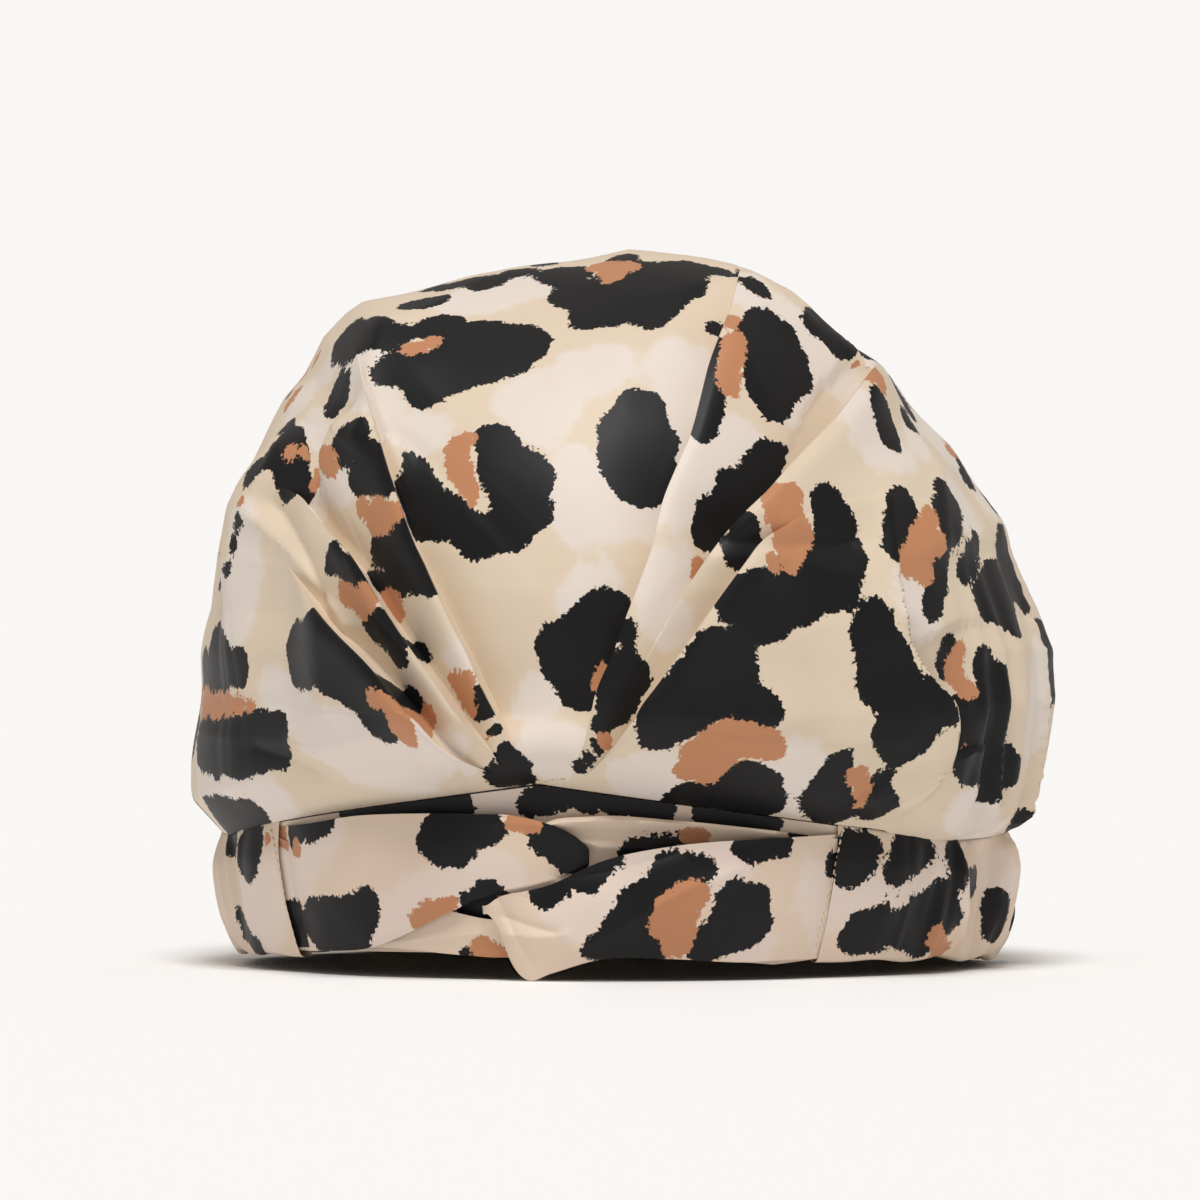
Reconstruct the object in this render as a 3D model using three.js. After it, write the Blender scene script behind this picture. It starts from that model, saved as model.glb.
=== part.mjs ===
// A turban-style shower cap in millimetres, +Z up, with its front towards -Y and its lowest points at z = 0.
// The crown is a puffed bag whose pleats run out of one tack at the front. The front of the band is two cloth
// loops hooked through each other, and the rest of it is a gathered casing that holds an elastic strip.
import * as THREE from "three";
import { mergeVertices } from "three/addons/utils/BufferGeometryUtils.js";

// Cloth and thread
const clothWall = 0.8; // thickness of a cloth solid
const layGap = 0.4; // clear distance between pieces that lie on each other
const threadRadius = 0.3;
const stitchPitch = 2.6;
const innerStitchPitch = 7.8; // of the hidden row that joins crown, lining and band
const stitchSwing = 0.45; // how far a stitch leans to each side of its row

// Band, measured outside along its upper edge. Its depth runs from front to back.
const bandHalfWidth = 126;
const bandHalfDepth = 115;
const bandTaper = 6; // how far the band draws in from its upper edge to its rim
const frontRim = 7.2; // height of the rim at the front
const sideRim = 3.3; // height of the rim at the ears; behind them it comes down to the surface
const sideSeam = 42; // height of the seam between band and crown at the sides
const tackLift = 20; // how much higher that seam is pulled at the tack
const liftTurn = 66; // degrees round the band over which it is pulled up
const seamTurn = 46.5; // degrees from the front middle to each stitch line
const seamSlant = 1.6; // degrees by which the stitch lines lean at the top

// Crown
const crownHalfWidth = 139;
const crownHalfDepth = 127;
const crownTop = 231;
const widestHeight = 85; // height at which the crown is widest
const leanAtWidest = 5; // sideways shift of the crown at its widest
const leanAtTop = -12.5; // and at its top
const tuckShare = 0.14; // part of the way from rim to top that lies below the widest height
const tackHalf = 5; // half the width of the tack
const stepHalfTurn = 1; // degrees taken by half the step of a pleat's edge
const stackReach = 20; // distance from the tack over which the pleats rise to their full height
const pleatRise = 7; // how far the edge of the boldest pleat stands over the cloth under it
const pleatPuff = 34; // how far back from that edge the pleat stays raised
const creaseRise = 4; // height of the boldest soft ridge
const creaseSpread = 14; // and how far the widest one spreads
const rowCrowding = 1.3; // power that draws the crown's rows together towards the tack

// Lining
const liningSlack = 7; // how far the lining hangs inside the crown

// Facing behind the twist
const facingDepth = -0.6; // place of its middle layer, in from the band's outside
const facingRise = 1.2; // height of its lower edge over the rim
const facingDroop = 3; // how far that edge hangs down near the right stitch line

// Casing and elastic
const casingPuff = 3.2;
const casingInner = 5;
const casingMouth = 2.4; // thickness of the casing where the crown meets it
const casingFoot = 4.5; // width of its flat lower edge
const footOutShare = 0.3; // share of that edge that lies outside the band
const casingHighShare = 0.74; // height at which the casing starts to draw in towards its mouth
const casingLowShare = 0.34; // height at which it is fullest
const casingDrawShare = 0.85; // its fullness at the upper of the two, as a share of the lower
const gatherHeight = 1.5;
const gatherCount = 20;
const rimScallop = 1.6; // how far the gathers lift the rim
const elasticWidth = 24;
const elasticWall = 1;
const elasticDepth = -0.9;
const elasticRise = 8; // height of the elastic's lower edge over the rim
const elasticInset = 3.2; // degrees from each stitch line to the end of the elastic

// Twist
const knotTop = 52.8; // height of the left loop where it crosses the middle
const legPuff = 3; // how far the cloth of a loop swells out between its edges
const frontLegDepth = 9; // how far the right loop stands out at the crossing
const seamOutShare = 0.28; // how far both loops stand out at the stitch lines, as a share of that
const seamStitchShares = [0.04, 0.82]; // ends of a seam's stitches, from the front rim to the knot's top

// Finishes, as colours of the cloth's ground, its inside and its thread
const printedGround = 0xdccbb2;
const liningWhite = 0xe9e4da;
const shadedBlush = 0xd3b9a6;
const elasticWhite = 0xf0ece4;
const threadPeach = 0xf0d5b0;

// Small helpers
const radians = THREE.MathUtils.degToRad;
const clamp = THREE.MathUtils.clamp;
const smooth = (share) => THREE.MathUtils.smoothstep(share, 0, 1);
const mix = THREE.MathUtils.lerp;
const steps = (count) => Array.from({ length: count + 1 }, (_, i) => i / count);

// Height of the seam between band and crown, and of the rim, at a turn in degrees from the front middle.
function seamHeight(turn) {
  return sideSeam + tackLift * Math.max(0, 1 - Math.abs(turn) / liftTurn);
}

function rimHeight(turn) {
  return Math.max(0, sideRim + (frontRim - sideRim) * Math.cos(radians(turn)));
}

// A point of the band, at a turn in degrees, a height, and a distance out from the band's outside.
function bandPoint(turn, height, out) {
  const low = rimHeight(turn);
  const share = clamp((height - low) / (seamHeight(turn) - low), -1, 1);
  const leaned = radians(turn + seamSlant * Math.sin(radians(turn)) * (2 * share - 1));
  const grown = out - bandTaper * (1 - share);
  return new THREE.Vector3(
    (bandHalfWidth + grown) * Math.sin(leaned),
    -(bandHalfDepth + grown) * Math.cos(leaned),
    height,
  );
}

// One closed solid between two grids of points that face each other: the first is the outer or front face.
function solidBetween(front, back) {
  const corners = [];
  const triangle = (a, b, c) => {
    if (a.equals(b) || b.equals(c) || c.equals(a)) return;
    corners.push(a, b, c);
  };
  const quad = (a, b, c, d) => {
    triangle(a, b, c);
    triangle(a, c, d);
  };
  const last = front.length - 1;
  const end = front[0].length - 1;
  for (let i = 0; i < last; i++) {
    for (let j = 0; j < end; j++) {
      quad(front[i][j], front[i + 1][j], front[i + 1][j + 1], front[i][j + 1]);
      quad(back[i][j], back[i][j + 1], back[i + 1][j + 1], back[i + 1][j]);
    }
    quad(front[i][0], back[i][0], back[i + 1][0], front[i + 1][0]);
    quad(front[i][end], front[i + 1][end], back[i + 1][end], back[i][end]);
  }
  for (let j = 0; j < end; j++) {
    quad(front[0][j], front[0][j + 1], back[0][j + 1], back[0][j]);
    quad(front[last][j], back[last][j], back[last][j + 1], front[last][j + 1]);
  }
  return closedGeometry(corners);
}

// One closed solid from the rings of a tube: each ring is a list of points, and the ends are capped.
function solidFromRings(rings) {
  const corners = [];
  const sides = rings[0].length;
  for (let i = 0; i + 1 < rings.length; i++) {
    for (let k = 0; k < sides; k++) {
      const next = (k + 1) % sides;
      corners.push(rings[i][k], rings[i + 1][k], rings[i + 1][next]);
      corners.push(rings[i][k], rings[i + 1][next], rings[i][next]);
    }
  }
  const tail = rings[rings.length - 1];
  for (let k = 1; k + 1 < sides; k++) {
    corners.push(rings[0][0], rings[0][k], rings[0][k + 1]);
    corners.push(tail[0], tail[k + 1], tail[k]);
  }
  return closedGeometry(corners);
}

function closedGeometry(corners) {
  const geometry = mergeVertices(new THREE.BufferGeometry().setFromPoints(corners));
  geometry.computeVertexNormals();
  return geometry;
}

// Crown. Its cloth is laid out on a unit disc: the disc's edge is the seam with the band, its middle is the
// top of the crown, and the front middle is at (0, -1).
function crownBase(p, q) {
  const turn = Math.atan2(p, -q);
  const inward = 1 - Math.hypot(p, q);
  const rim = seamHeight(THREE.MathUtils.radToDeg(turn)) + layGap;
  const lean = (height) =>
    mix(leanAtWidest, leanAtTop, (height - widestHeight) / (crownTop - widestHeight));
  if (inward < tuckShare) {
    const down = 1 - inward / tuckShare;
    const bow = (seam, widest) => Math.cbrt(1 - (1 - (seam / widest) ** 3) * down ** 3) * widest;
    return new THREE.Vector3(
      bow(bandHalfWidth, crownHalfWidth) * Math.sin(turn) + leanAtWidest * (1 - down),
      -bow(bandHalfDepth, crownHalfDepth) * Math.cos(turn),
      mix(widestHeight, rim, down),
    );
  }
  const climb = ((inward - tuckShare) / (1 - tuckShare)) * (Math.PI / 2);
  const height = mix(widestHeight, crownTop, Math.sin(climb));
  return new THREE.Vector3(
    crownHalfWidth * Math.cos(climb) * Math.sin(turn) + lean(height),
    -crownHalfDepth * Math.cos(climb) * Math.cos(turn),
    height,
  );
}

function crownNormal(p, q) {
  const nudgeShare = 0.004;
  const room = Math.min(1, (1 - nudgeShare * 2) / Math.max(Math.hypot(p, q), nudgeShare));
  const [u, v] = [p * room, q * room];
  const alongP = crownBase(u + nudgeShare, v).sub(crownBase(u - nudgeShare, v));
  const alongQ = crownBase(u, v + nudgeShare).sub(crownBase(u, v - nudgeShare));
  return alongP.cross(alongQ).normalize();
}

// Pleats. Each edge leaves the tack and crosses the disc at an angle, in degrees from straight back, that
// drifts with the distance from the tack and hooks round close to it. The outer side of an edge lies on top.
const pleatShares = [
  { side: -1, aim: -44, drift: 0, hook: -51, hookReach: 0.2, rise: 0.95, puff: 0.88, fade: [0.4, 0.66] },
  { side: -1, aim: -35, drift: 0, hook: -40, hookReach: 0.2, rise: 0.8, puff: 0.7, fade: [0.48, 0.76] },
  { side: -1, aim: -18, drift: 0, hook: -37, hookReach: 0.3, rise: 0.74, puff: 0.65, fade: [0.42, 0.84] },
  { side: 1, aim: 38, drift: -27, hook: 0, hookReach: 1, rise: 0.62, puff: 0.7, fade: [0.5, 1.1] },
  { side: 1, aim: 52, drift: -27, hook: 60, hookReach: 0.08, rise: 1, puff: 1, fade: [0.72, 1.02] },
];
const driftReachShare = 1.1; // past this distance from the tack the angle drifts no further

function pleatAngle(pleat, reach) {
  const drifted = pleat.aim + pleat.drift * Math.min(reach, driftReachShare);
  return drifted + pleat.hook * Math.exp(-reach / pleat.hookReach);
}

// Soft ridges and valleys between the pleats, each a line on the disc with its height and how far it spreads.
const creaseShares = [
  { line: [[-0.42, -0.33], [-0.52, -0.37], [-0.62, -0.28]], rise: 0.88, spread: 0.64 },
  { line: [[-0.55, -0.33], [-0.4, -0.6]], rise: 0.88, spread: 0.5 },
  { line: [[-0.5, -0.36], [-0.37, -0.62]], rise: -0.75, spread: 0.5 },
  { line: [[-0.28, -0.42], [-0.41, -0.48]], rise: -0.62, spread: 0.57 },
  { line: [[0.27, -0.06], [0.41, -0.12], [0.6, -0.26]], rise: 0.88, spread: 1 },
  { line: [[0.5, -0.33], [0.6, -0.45], [0.7, -0.47], [0.86, -0.42]], rise: 0.88, spread: 0.64 },
  { line: [[0.6, -0.3], [0.7, -0.38], [0.84, -0.33]], rise: -1, spread: 0.71 },
  { line: [[-0.1, -0.02], [-0.26, -0.22], [-0.34, -0.36]], rise: 0.5, spread: 0.86 },
];

// Distance on the disc from a point to a line of points.
function distanceToLine(p, q, line) {
  let nearest = Infinity;
  for (let i = 0; i + 1 < line.length; i++) {
    const [[ax, ay], [bx, by]] = [line[i], line[i + 1]];
    const span = (bx - ax) ** 2 + (by - ay) ** 2;
    const along = clamp(((p - ax) * (bx - ax) + (q - ay) * (by - ay)) / span, 0, 1);
    nearest = Math.min(nearest, Math.hypot(p - mix(ax, bx, along), q - mix(ay, by, along)));
  }
  return nearest;
}

// How far the cloth stands out from the crown's plain form at a point of the fan that spreads from the tack.
function crownRelief(angle, reach, p, q) {
  const size = crownHalfWidth; // one unit of the disc, on the crown
  const edgeHold = smooth((1 - Math.hypot(p, q)) / tuckShare);
  let relief = 0;
  for (const pleat of pleatShares) {
    const [fadeFrom, fadeTo] = pleat.fade;
    const across = radians((angle - pleatAngle(pleat, reach)) * pleat.side) * reach * size;
    if (across <= 0) continue;
    const along = smooth((reach * size) / stackReach) * (1 - smooth((reach - fadeFrom) / (fadeTo - fadeFrom)));
    relief += pleat.rise * pleatRise * along * Math.exp(-across / (pleat.puff * pleatPuff));
  }
  for (const crease of creaseShares) {
    const across = distanceToLine(p, q, crease.line) * size;
    relief += crease.rise * creaseRise * Math.exp(-across / (crease.spread * creaseSpread));
  }
  return relief * edgeHold;
}

// The fan's columns: each one leaves the tack, follows the pleats beside it and ends on the disc's edge.
// gapCounts says how many columns there are between one pleat and the next, and stepTurn widens each pleat's
// edge into a low and a high column.
function fanColumns(gapCounts, stepTurn) {
  const edges = [() => -90, ...pleatShares.map((pleat) => (reach) => pleatAngle(pleat, reach)), () => 90];
  const last = pleatShares.length;
  const middle = pleatShares.filter((pleat) => pleat.side < 0).length;
  const columns = [];
  gapCounts.forEach((count, gap) => {
    const opensLow = gap > 0 ? stepTurn : 0;
    const opensHigh = gap < last ? stepTurn : 0;
    steps(count).forEach((share, i) => {
      if ((i === 0 && gap === 0) || (i === count && gap === last)) return;
      const angleAt = (reach) => mix(edges[gap](reach) + opensLow, edges[gap + 1](reach) - opensHigh, share);
      const spread = gap < middle ? -1 : gap > middle ? 1 : 2 * share - 1;
      columns.push({ angleAt, spread });
    });
  });
  return columns;
}

// The points of one column on the disc, from the tack to the edge, with their angle and distance.
function columnPoints({ angleAt, spread }, rows) {
  const start = (tackHalf / bandHalfDepth) * spread;
  const at = (reach) => {
    const limit = 90 - THREE.MathUtils.radToDeg(Math.asin(reach / 2));
    const angle = clamp(angleAt(reach), -limit, limit);
    return {
      angle,
      reach,
      p: Math.sin(start) + reach * Math.sin(radians(angle)),
      q: -Math.cos(start) + reach * Math.cos(radians(angle)),
    };
  };
  let inside = Math.abs(start);
  let outside = 2;
  for (let i = 0; i < 40; i++) {
    const middle = (inside + outside) / 2;
    const { p, q } = at(middle);
    if (Math.hypot(p, q) < 1) inside = middle;
    else outside = middle;
  }
  return steps(rows).map((share) => {
    if (share === 0) return { angle: 0, reach: 0, p: Math.sin(start), q: -Math.cos(start) };
    return at(inside * share ** rowCrowding);
  });
}

// A layer of the crown: offsetAt gives how far each of its points stands out from the plain form.
function crownLayer(columns, rows, offsetAt) {
  return columns.map((column) =>
    columnPoints(column, rows).map((place) => {
      const base = crownBase(place.p, place.q);
      return base.addScaledVector(crownNormal(place.p, place.q), offsetAt(place));
    }),
  );
}

const columnCounts = [9, 3, 3, 5, 3, 10]; // columns between one pleat and the next, from left to right

function crownShell() {
  const columns = fanColumns(columnCounts, stepHalfTurn);
  const rows = 15;
  const relief = ({ angle, reach, p, q }) => crownRelief(angle, reach, p, q);
  return solidBetween(
    crownLayer(columns, rows, relief),
    crownLayer(columns, rows, (place) => relief(place) - clothWall),
  );
}

function crownLining() {
  const columns = fanColumns(columnCounts, stepHalfTurn);
  const rows = 10;
  const hang = ({ p, q }) => {
    const inward = 1 - Math.hypot(p, q);
    return -clothWall - layGap - liningSlack * smooth(inward / tuckShare);
  };
  return solidBetween(
    crownLayer(columns, rows, hang),
    crownLayer(columns, rows, (place) => hang(place) - clothWall),
  );
}

// A ribbon of cloth that stands on edge: its stations run along the band, and its cloth wall lies half to each
// side of them. Each station has a turn in degrees, a distance out, the heights of its edges and its swell.
function ribbon(stations, lengthSteps, heightSteps) {
  const meanRadius = (bandHalfWidth + bandHalfDepth) / 2;
  const route = new THREE.CatmullRomCurve3(
    stations.map(({ turn, out }) => new THREE.Vector3(radians(turn) * meanRadius, out, 0)),
    false,
    "centripetal",
  );
  const edges = new THREE.CatmullRomCurve3(
    stations.map(({ low, high, swell }) => new THREE.Vector3(low, high, swell)),
    false,
    "centripetal",
  );
  const layer = (side) =>
    lengthSteps.map((share) => {
      const middle = route.getPoint(share);
      const tangent = route.getTangent(share);
      const away = new THREE.Vector3(-tangent.y, tangent.x, 0).multiplyScalar(side * (clothWall / 2));
      const { x: low, y: high, z: swell } = edges.getPoint(share);
      return steps(heightSteps).map((rise) => {
        const bulge = swell * Math.sin(rise * Math.PI);
        const turn = THREE.MathUtils.radToDeg((middle.x + away.x) / meanRadius);
        return bandPoint(turn, Math.max(0, mix(low, high, rise)), middle.y + away.y + bulge);
      });
    });
  return solidBetween(layer(1), layer(-1));
}

// The twist. Each loop is listed from its stitch line to its bend and back, as turns in degrees, shares of how
// far the front leg stands out, shares of the height between the front rim and the knot's top, and its swell
// as a share of a leg's puff.
const loopShares = {
  left: [
    { turn: -1, outShare: seamOutShare, lowShare: 0.0, highShare: 0.86, swellShare: 0 },
    { turn: -0.8, outShare: 0.34, lowShare: 0.01, highShare: 0.9, swellShare: 0.6 },
    { turn: -0.58, outShare: 0.42, lowShare: 0.06, highShare: 0.97, swellShare: 1 },
    { turn: -0.28, outShare: 0.52, lowShare: 0.32, highShare: 1, swellShare: 0.8 },
    { turn: -0.19, outShare: 0.54, lowShare: 0.41, highShare: 1, swellShare: 0.4 },
    { turn: -0.06, outShare: 0.55, lowShare: 0.44, highShare: 0.99, swellShare: 0.25 },
    { turn: 0.08, outShare: 0.55, lowShare: 0.46, highShare: 0.9, swellShare: 0.15 },
    { turn: 0.135, outShare: 0.55, lowShare: 0.44, highShare: 0.82, swellShare: 0 },
    { turn: 0.16, outShare: 0.45, lowShare: 0.3, highShare: 0.74, swellShare: 0 },
    { turn: 0.135, outShare: 0.35, lowShare: 0.16, highShare: 0.56, swellShare: 0 },
    { turn: 0.04, outShare: 0.35, lowShare: 0.04, highShare: 0.3, swellShare: 0 },
    { turn: -0.12, outShare: 0.35, lowShare: 0.0, highShare: 0.26, swellShare: 0 },
    { turn: -0.26, outShare: 0.34, lowShare: 0.01, highShare: 0.3, swellShare: 0 },
    { turn: -0.58, outShare: 0.25, lowShare: 0.05, highShare: 0.5, swellShare: 0 },
    { turn: -1, outShare: 0.11, lowShare: 0.02, highShare: 0.8, swellShare: 0 },
  ],
  right: [
    { turn: 1, outShare: seamOutShare, lowShare: -0.02, highShare: 0.85, swellShare: 0 },
    { turn: 0.82, outShare: 0.5, lowShare: -0.02, highShare: 0.84, swellShare: 0.7 },
    { turn: 0.66, outShare: 0.7, lowShare: -0.03, highShare: 0.83, swellShare: 1 },
    { turn: 0.42, outShare: 0.95, lowShare: 0.0, highShare: 0.79, swellShare: 1.2 },
    { turn: 0.21, outShare: 1.0, lowShare: 0.0, highShare: 0.69, swellShare: 1.1 },
    { turn: 0.05, outShare: 1.0, lowShare: -0.16, highShare: 0.52, swellShare: 0.8 },
    { turn: -0.03, outShare: 1.0, lowShare: -0.18, highShare: 0.47, swellShare: 0.7 },
    { turn: -0.08, outShare: 0.97, lowShare: -0.04, highShare: 0.45, swellShare: 0.5 },
    { turn: -0.12, outShare: 0.92, lowShare: 0.2, highShare: 0.42, swellShare: 0.2 },
    { turn: -0.155, outShare: 0.8, lowShare: 0.3, highShare: 0.37, swellShare: 0 },
    { turn: -0.18, outShare: 0.52, lowShare: 0.3, highShare: 0.36, swellShare: 0 },
    { turn: -0.155, outShare: 0.24, lowShare: 0.3, highShare: 0.37, swellShare: 0 },
    { turn: -0.1, outShare: 0.15, lowShare: 0.3, highShare: 0.55, swellShare: 0 },
    { turn: 0.0, outShare: 0.14, lowShare: 0.3, highShare: 0.9, swellShare: 0 },
    { turn: 0.17, outShare: 0.14, lowShare: 0.26, highShare: 0.99, swellShare: 0 },
    { turn: 0.42, outShare: 0.14, lowShare: 0.2, highShare: 0.96, swellShare: 0 },
    { turn: 0.66, outShare: 0.13, lowShare: 0.1, highShare: 0.9, swellShare: 0 },
    { turn: 1, outShare: 0.11, lowShare: 0.02, highShare: 0.8, swellShare: 0 },
  ],
};

function bandLoop(side) {
  const seamClear = THREE.MathUtils.radToDeg(layGap / 2 / bandHalfDepth);
  const stations = loopShares[side].map(({ turn, outShare, lowShare, highShare, swellShare }) => ({
    turn: turn * (seamTurn - seamClear),
    out: outShare * frontLegDepth,
    low: mix(frontRim, knotTop, lowShare),
    high: mix(frontRim, knotTop, highShare),
    swell: swellShare * legPuff,
  }));
  if (side === "right") stations.reverse();
  return ribbon(stations, steps(44), 4);
}

function frontFacing() {
  const droopShares = [0, 0, 0, 0, 0, 0, 0, 0, 0.6, 1, 0.2];
  const stations = droopShares.map((droopShare, i) => {
    const share = i / (droopShares.length - 1);
    const turn = mix(-seamTurn, seamTurn, share);
    return {
      turn,
      out: facingDepth,
      low: rimHeight(turn) + facingRise - facingDroop * droopShare,
      high: seamHeight(turn) - layGap,
      swell: 0,
    };
  });
  return ribbon(stations, steps(22), 3);
}

// The section of the casing at a turn, as points out from the band and up, from the top edge round the outside.
function casingSection(turn) {
  const low = rimHeight(turn);
  const high = seamHeight(turn);
  const wave = Math.cos(radians(turn * gatherCount));
  const fromEnd = smooth((Math.abs(turn) - seamTurn) / (360 / gatherCount));
  const ripple = gatherHeight * wave * fromEnd;
  const foot = low + ((rimScallop * (1 + wave)) / 2) * fromEnd * clamp(low / rimScallop, 0, 1);
  return [
    { out: 0, height: high },
    { out: casingPuff * casingDrawShare + ripple, height: mix(low, high, casingHighShare) },
    { out: casingPuff + ripple, height: mix(low, high, casingLowShare) },
    { out: casingFoot * footOutShare, height: foot },
    { out: casingFoot * (footOutShare - 1), height: foot },
    { out: -casingInner + ripple, height: mix(low, high, casingLowShare) },
    { out: -casingInner * casingDrawShare + ripple, height: mix(low, high, casingHighShare) },
    { out: -casingMouth, height: high },
  ];
}

// A section drawn in by the cloth wall all round.
function drawnIn(section) {
  return section.map((point, k) => {
    const before = section[(k + section.length - 1) % section.length];
    const after = section[(k + 1) % section.length];
    const normalOf = (a, b) => new THREE.Vector2(b.height - a.height, a.out - b.out).normalize();
    const first = normalOf(before, point);
    const second = normalOf(point, after);
    const middle = first.clone().add(second);
    const scale = clothWall / (1 + first.dot(second));
    return { out: point.out + middle.x * scale, height: point.height + middle.y * scale };
  });
}

function backCasing() {
  const endClear = THREE.MathUtils.radToDeg(layGap / 2 / bandHalfDepth);
  const from = seamTurn + endClear;
  const turns = steps(gatherCount * 4).map((share) => mix(from, 360 - from, share));
  const rings = turns.map((full) => {
    const turn = full > 180 ? full - 360 : full;
    const section = casingSection(turn);
    const place = ({ out, height }) => bandPoint(turn, height, out);
    return { outer: section.map(place), inner: drawnIn(section).map(place) };
  });
  const corners = [];
  const sides = rings[0].outer.length;
  const quad = (a, b, c, d) => corners.push(a, b, c, a, c, d);
  for (let i = 0; i + 1 < rings.length; i++) {
    for (let k = 0; k < sides; k++) {
      const next = (k + 1) % sides;
      const [here, there] = [rings[i], rings[i + 1]];
      quad(here.outer[k], here.outer[next], there.outer[next], there.outer[k]);
      quad(here.inner[k], there.inner[k], there.inner[next], here.inner[next]);
    }
  }
  for (let k = 0; k < sides; k++) {
    const next = (k + 1) % sides;
    const [head, tail] = [rings[0], rings[rings.length - 1]];
    quad(head.outer[k], head.inner[k], head.inner[next], head.outer[next]);
    quad(tail.outer[k], tail.outer[next], tail.inner[next], tail.inner[k]);
  }
  return closedGeometry(corners);
}

function elasticStrip() {
  const from = seamTurn + elasticInset;
  const turns = steps(48).map((share) => mix(from, 360 - from, share));
  const rings = turns.map((full) => {
    const turn = full > 180 ? full - 360 : full;
    const low = rimHeight(turn) + elasticRise;
    const half = elasticWall / 2;
    return [
      bandPoint(turn, low, elasticDepth + half),
      bandPoint(turn, low + elasticWidth, elasticDepth + half),
      bandPoint(turn, low + elasticWidth, elasticDepth - half),
      bandPoint(turn, low, elasticDepth - half),
    ];
  });
  return solidFromRings(rings);
}

// A row of stitches as one wavy thread. pointAt gives the row's middle line, and sideAt and outAt the
// directions across the row and away from the cloth.
function stitchRow(length, pitch, sides, pointAt, sideAt, outAt) {
  const count = Math.max(1, Math.round(length / pitch));
  const rings = steps(count * 2).map((share, i) => {
    const swing = i % 2 ? stitchSwing : -stitchSwing;
    const side = sideAt(share);
    const out = outAt(share);
    const middle = pointAt(share).addScaledVector(side, swing);
    return Array.from({ length: sides }, (_, k) => {
      const round = (k / sides) * 2 * Math.PI;
      return middle
        .clone()
        .addScaledVector(side, threadRadius * Math.cos(round))
        .addScaledVector(out, -threadRadius * Math.sin(round));
    });
  });
  return solidFromRings(rings);
}

function seamStitches(side) {
  const turn = side * (seamTurn - THREE.MathUtils.radToDeg((stitchSwing + threadRadius) / bandHalfDepth));
  const out = seamOutShare * frontLegDepth + clothWall / 2 + layGap + threadRadius;
  const [low, high] = seamStitchShares.map((share) => mix(frontRim, knotTop, share));
  const across = new THREE.Vector3(Math.cos(radians(turn)), Math.sin(radians(turn)), 0);
  const away = new THREE.Vector3(Math.sin(radians(turn)), -Math.cos(radians(turn)), 0);
  return stitchRow(
    high - low,
    stitchPitch,
    4,
    (share) => bandPoint(turn, mix(low, high, share), out),
    () => across,
    () => away.clone().negate(),
  );
}

function tackStitches() {
  const halfTurn = THREE.MathUtils.radToDeg(tackHalf / bandHalfDepth);
  const out = 2 * layGap + threadRadius;
  return stitchRow(
    2 * tackHalf,
    stitchPitch,
    4,
    (share) => bandPoint(mix(-halfTurn, halfTurn, share), seamHeight(0) - stitchSwing, out),
    () => new THREE.Vector3(0, 0, 1),
    () => new THREE.Vector3(0, -1, 0),
  );
}

function crownSeamStitches() {
  const inside = -2 * (clothWall + threadRadius) - 4 * layGap;
  const girth = Math.PI * (bandHalfWidth + bandHalfDepth);
  const turnAt = (share) => mix(-180, 180, share) * (1 - layGap / girth);
  return stitchRow(
    girth,
    innerStitchPitch,
    3,
    (share) => {
      const turn = turnAt(share);
      return bandPoint(turn, seamHeight(turn) + stitchSwing + threadRadius + layGap, inside);
    },
    () => new THREE.Vector3(0, 0, 1),
    (share) => {
      const turn = radians(turnAt(share));
      return new THREE.Vector3(Math.sin(turn), -Math.cos(turn), 0);
    },
  );
}

function piece(name, geometry, color, roughness) {
  const material = new THREE.MeshStandardMaterial({ color, roughness, metalness: 0, side: THREE.DoubleSide });
  const mesh = new THREE.Mesh(geometry, material);
  mesh.name = name;
  return mesh;
}

const cap = new THREE.Group();
cap.add(
  piece("crown_shell", crownShell(), printedGround, 0.42),
  piece("crown_lining", crownLining(), liningWhite, 0.3),
  piece("left_band_loop", bandLoop("left"), printedGround, 0.42),
  piece("right_band_loop", bandLoop("right"), printedGround, 0.42),
  piece("front_facing", frontFacing(), shadedBlush, 0.45),
  piece("back_casing", backCasing(), printedGround, 0.42),
  piece("elastic_strip", elasticStrip(), elasticWhite, 0.8),
  piece("left_seam_stitches", seamStitches(-1), threadPeach, 0.6),
  piece("right_seam_stitches", seamStitches(1), threadPeach, 0.6),
  piece("tack_stitches", tackStitches(), threadPeach, 0.6),
  piece("crown_seam_stitches", crownSeamStitches(), threadPeach, 0.6),
);

// The origin is under the middle of the cap's box, on the surface that it stands on.
const box = new THREE.Box3().setFromObject(cap);
const middle = box.getCenter(new THREE.Vector3());
cap.position.set(-middle.x, -middle.y, -box.min.z);

export default cap;
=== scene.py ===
"""Dresses the solids of a turban-style shower cap for a studio picture.

Everything that shows on the cap is cloth, film, elastic or thread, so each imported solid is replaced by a
finer mesh in the same place. Lengths are in millimetres, and places are measured from the middle of the band,
until a mesh is made. Places in the photograph are its pixels, each carried to the cloth along its ray.
"""

import logging
import math
from dataclasses import dataclass, field
from enum import Enum

import bpy
import numpy as np
from mathutils import Matrix, Vector
from mathutils.bvhtree import BVHTree


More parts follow.
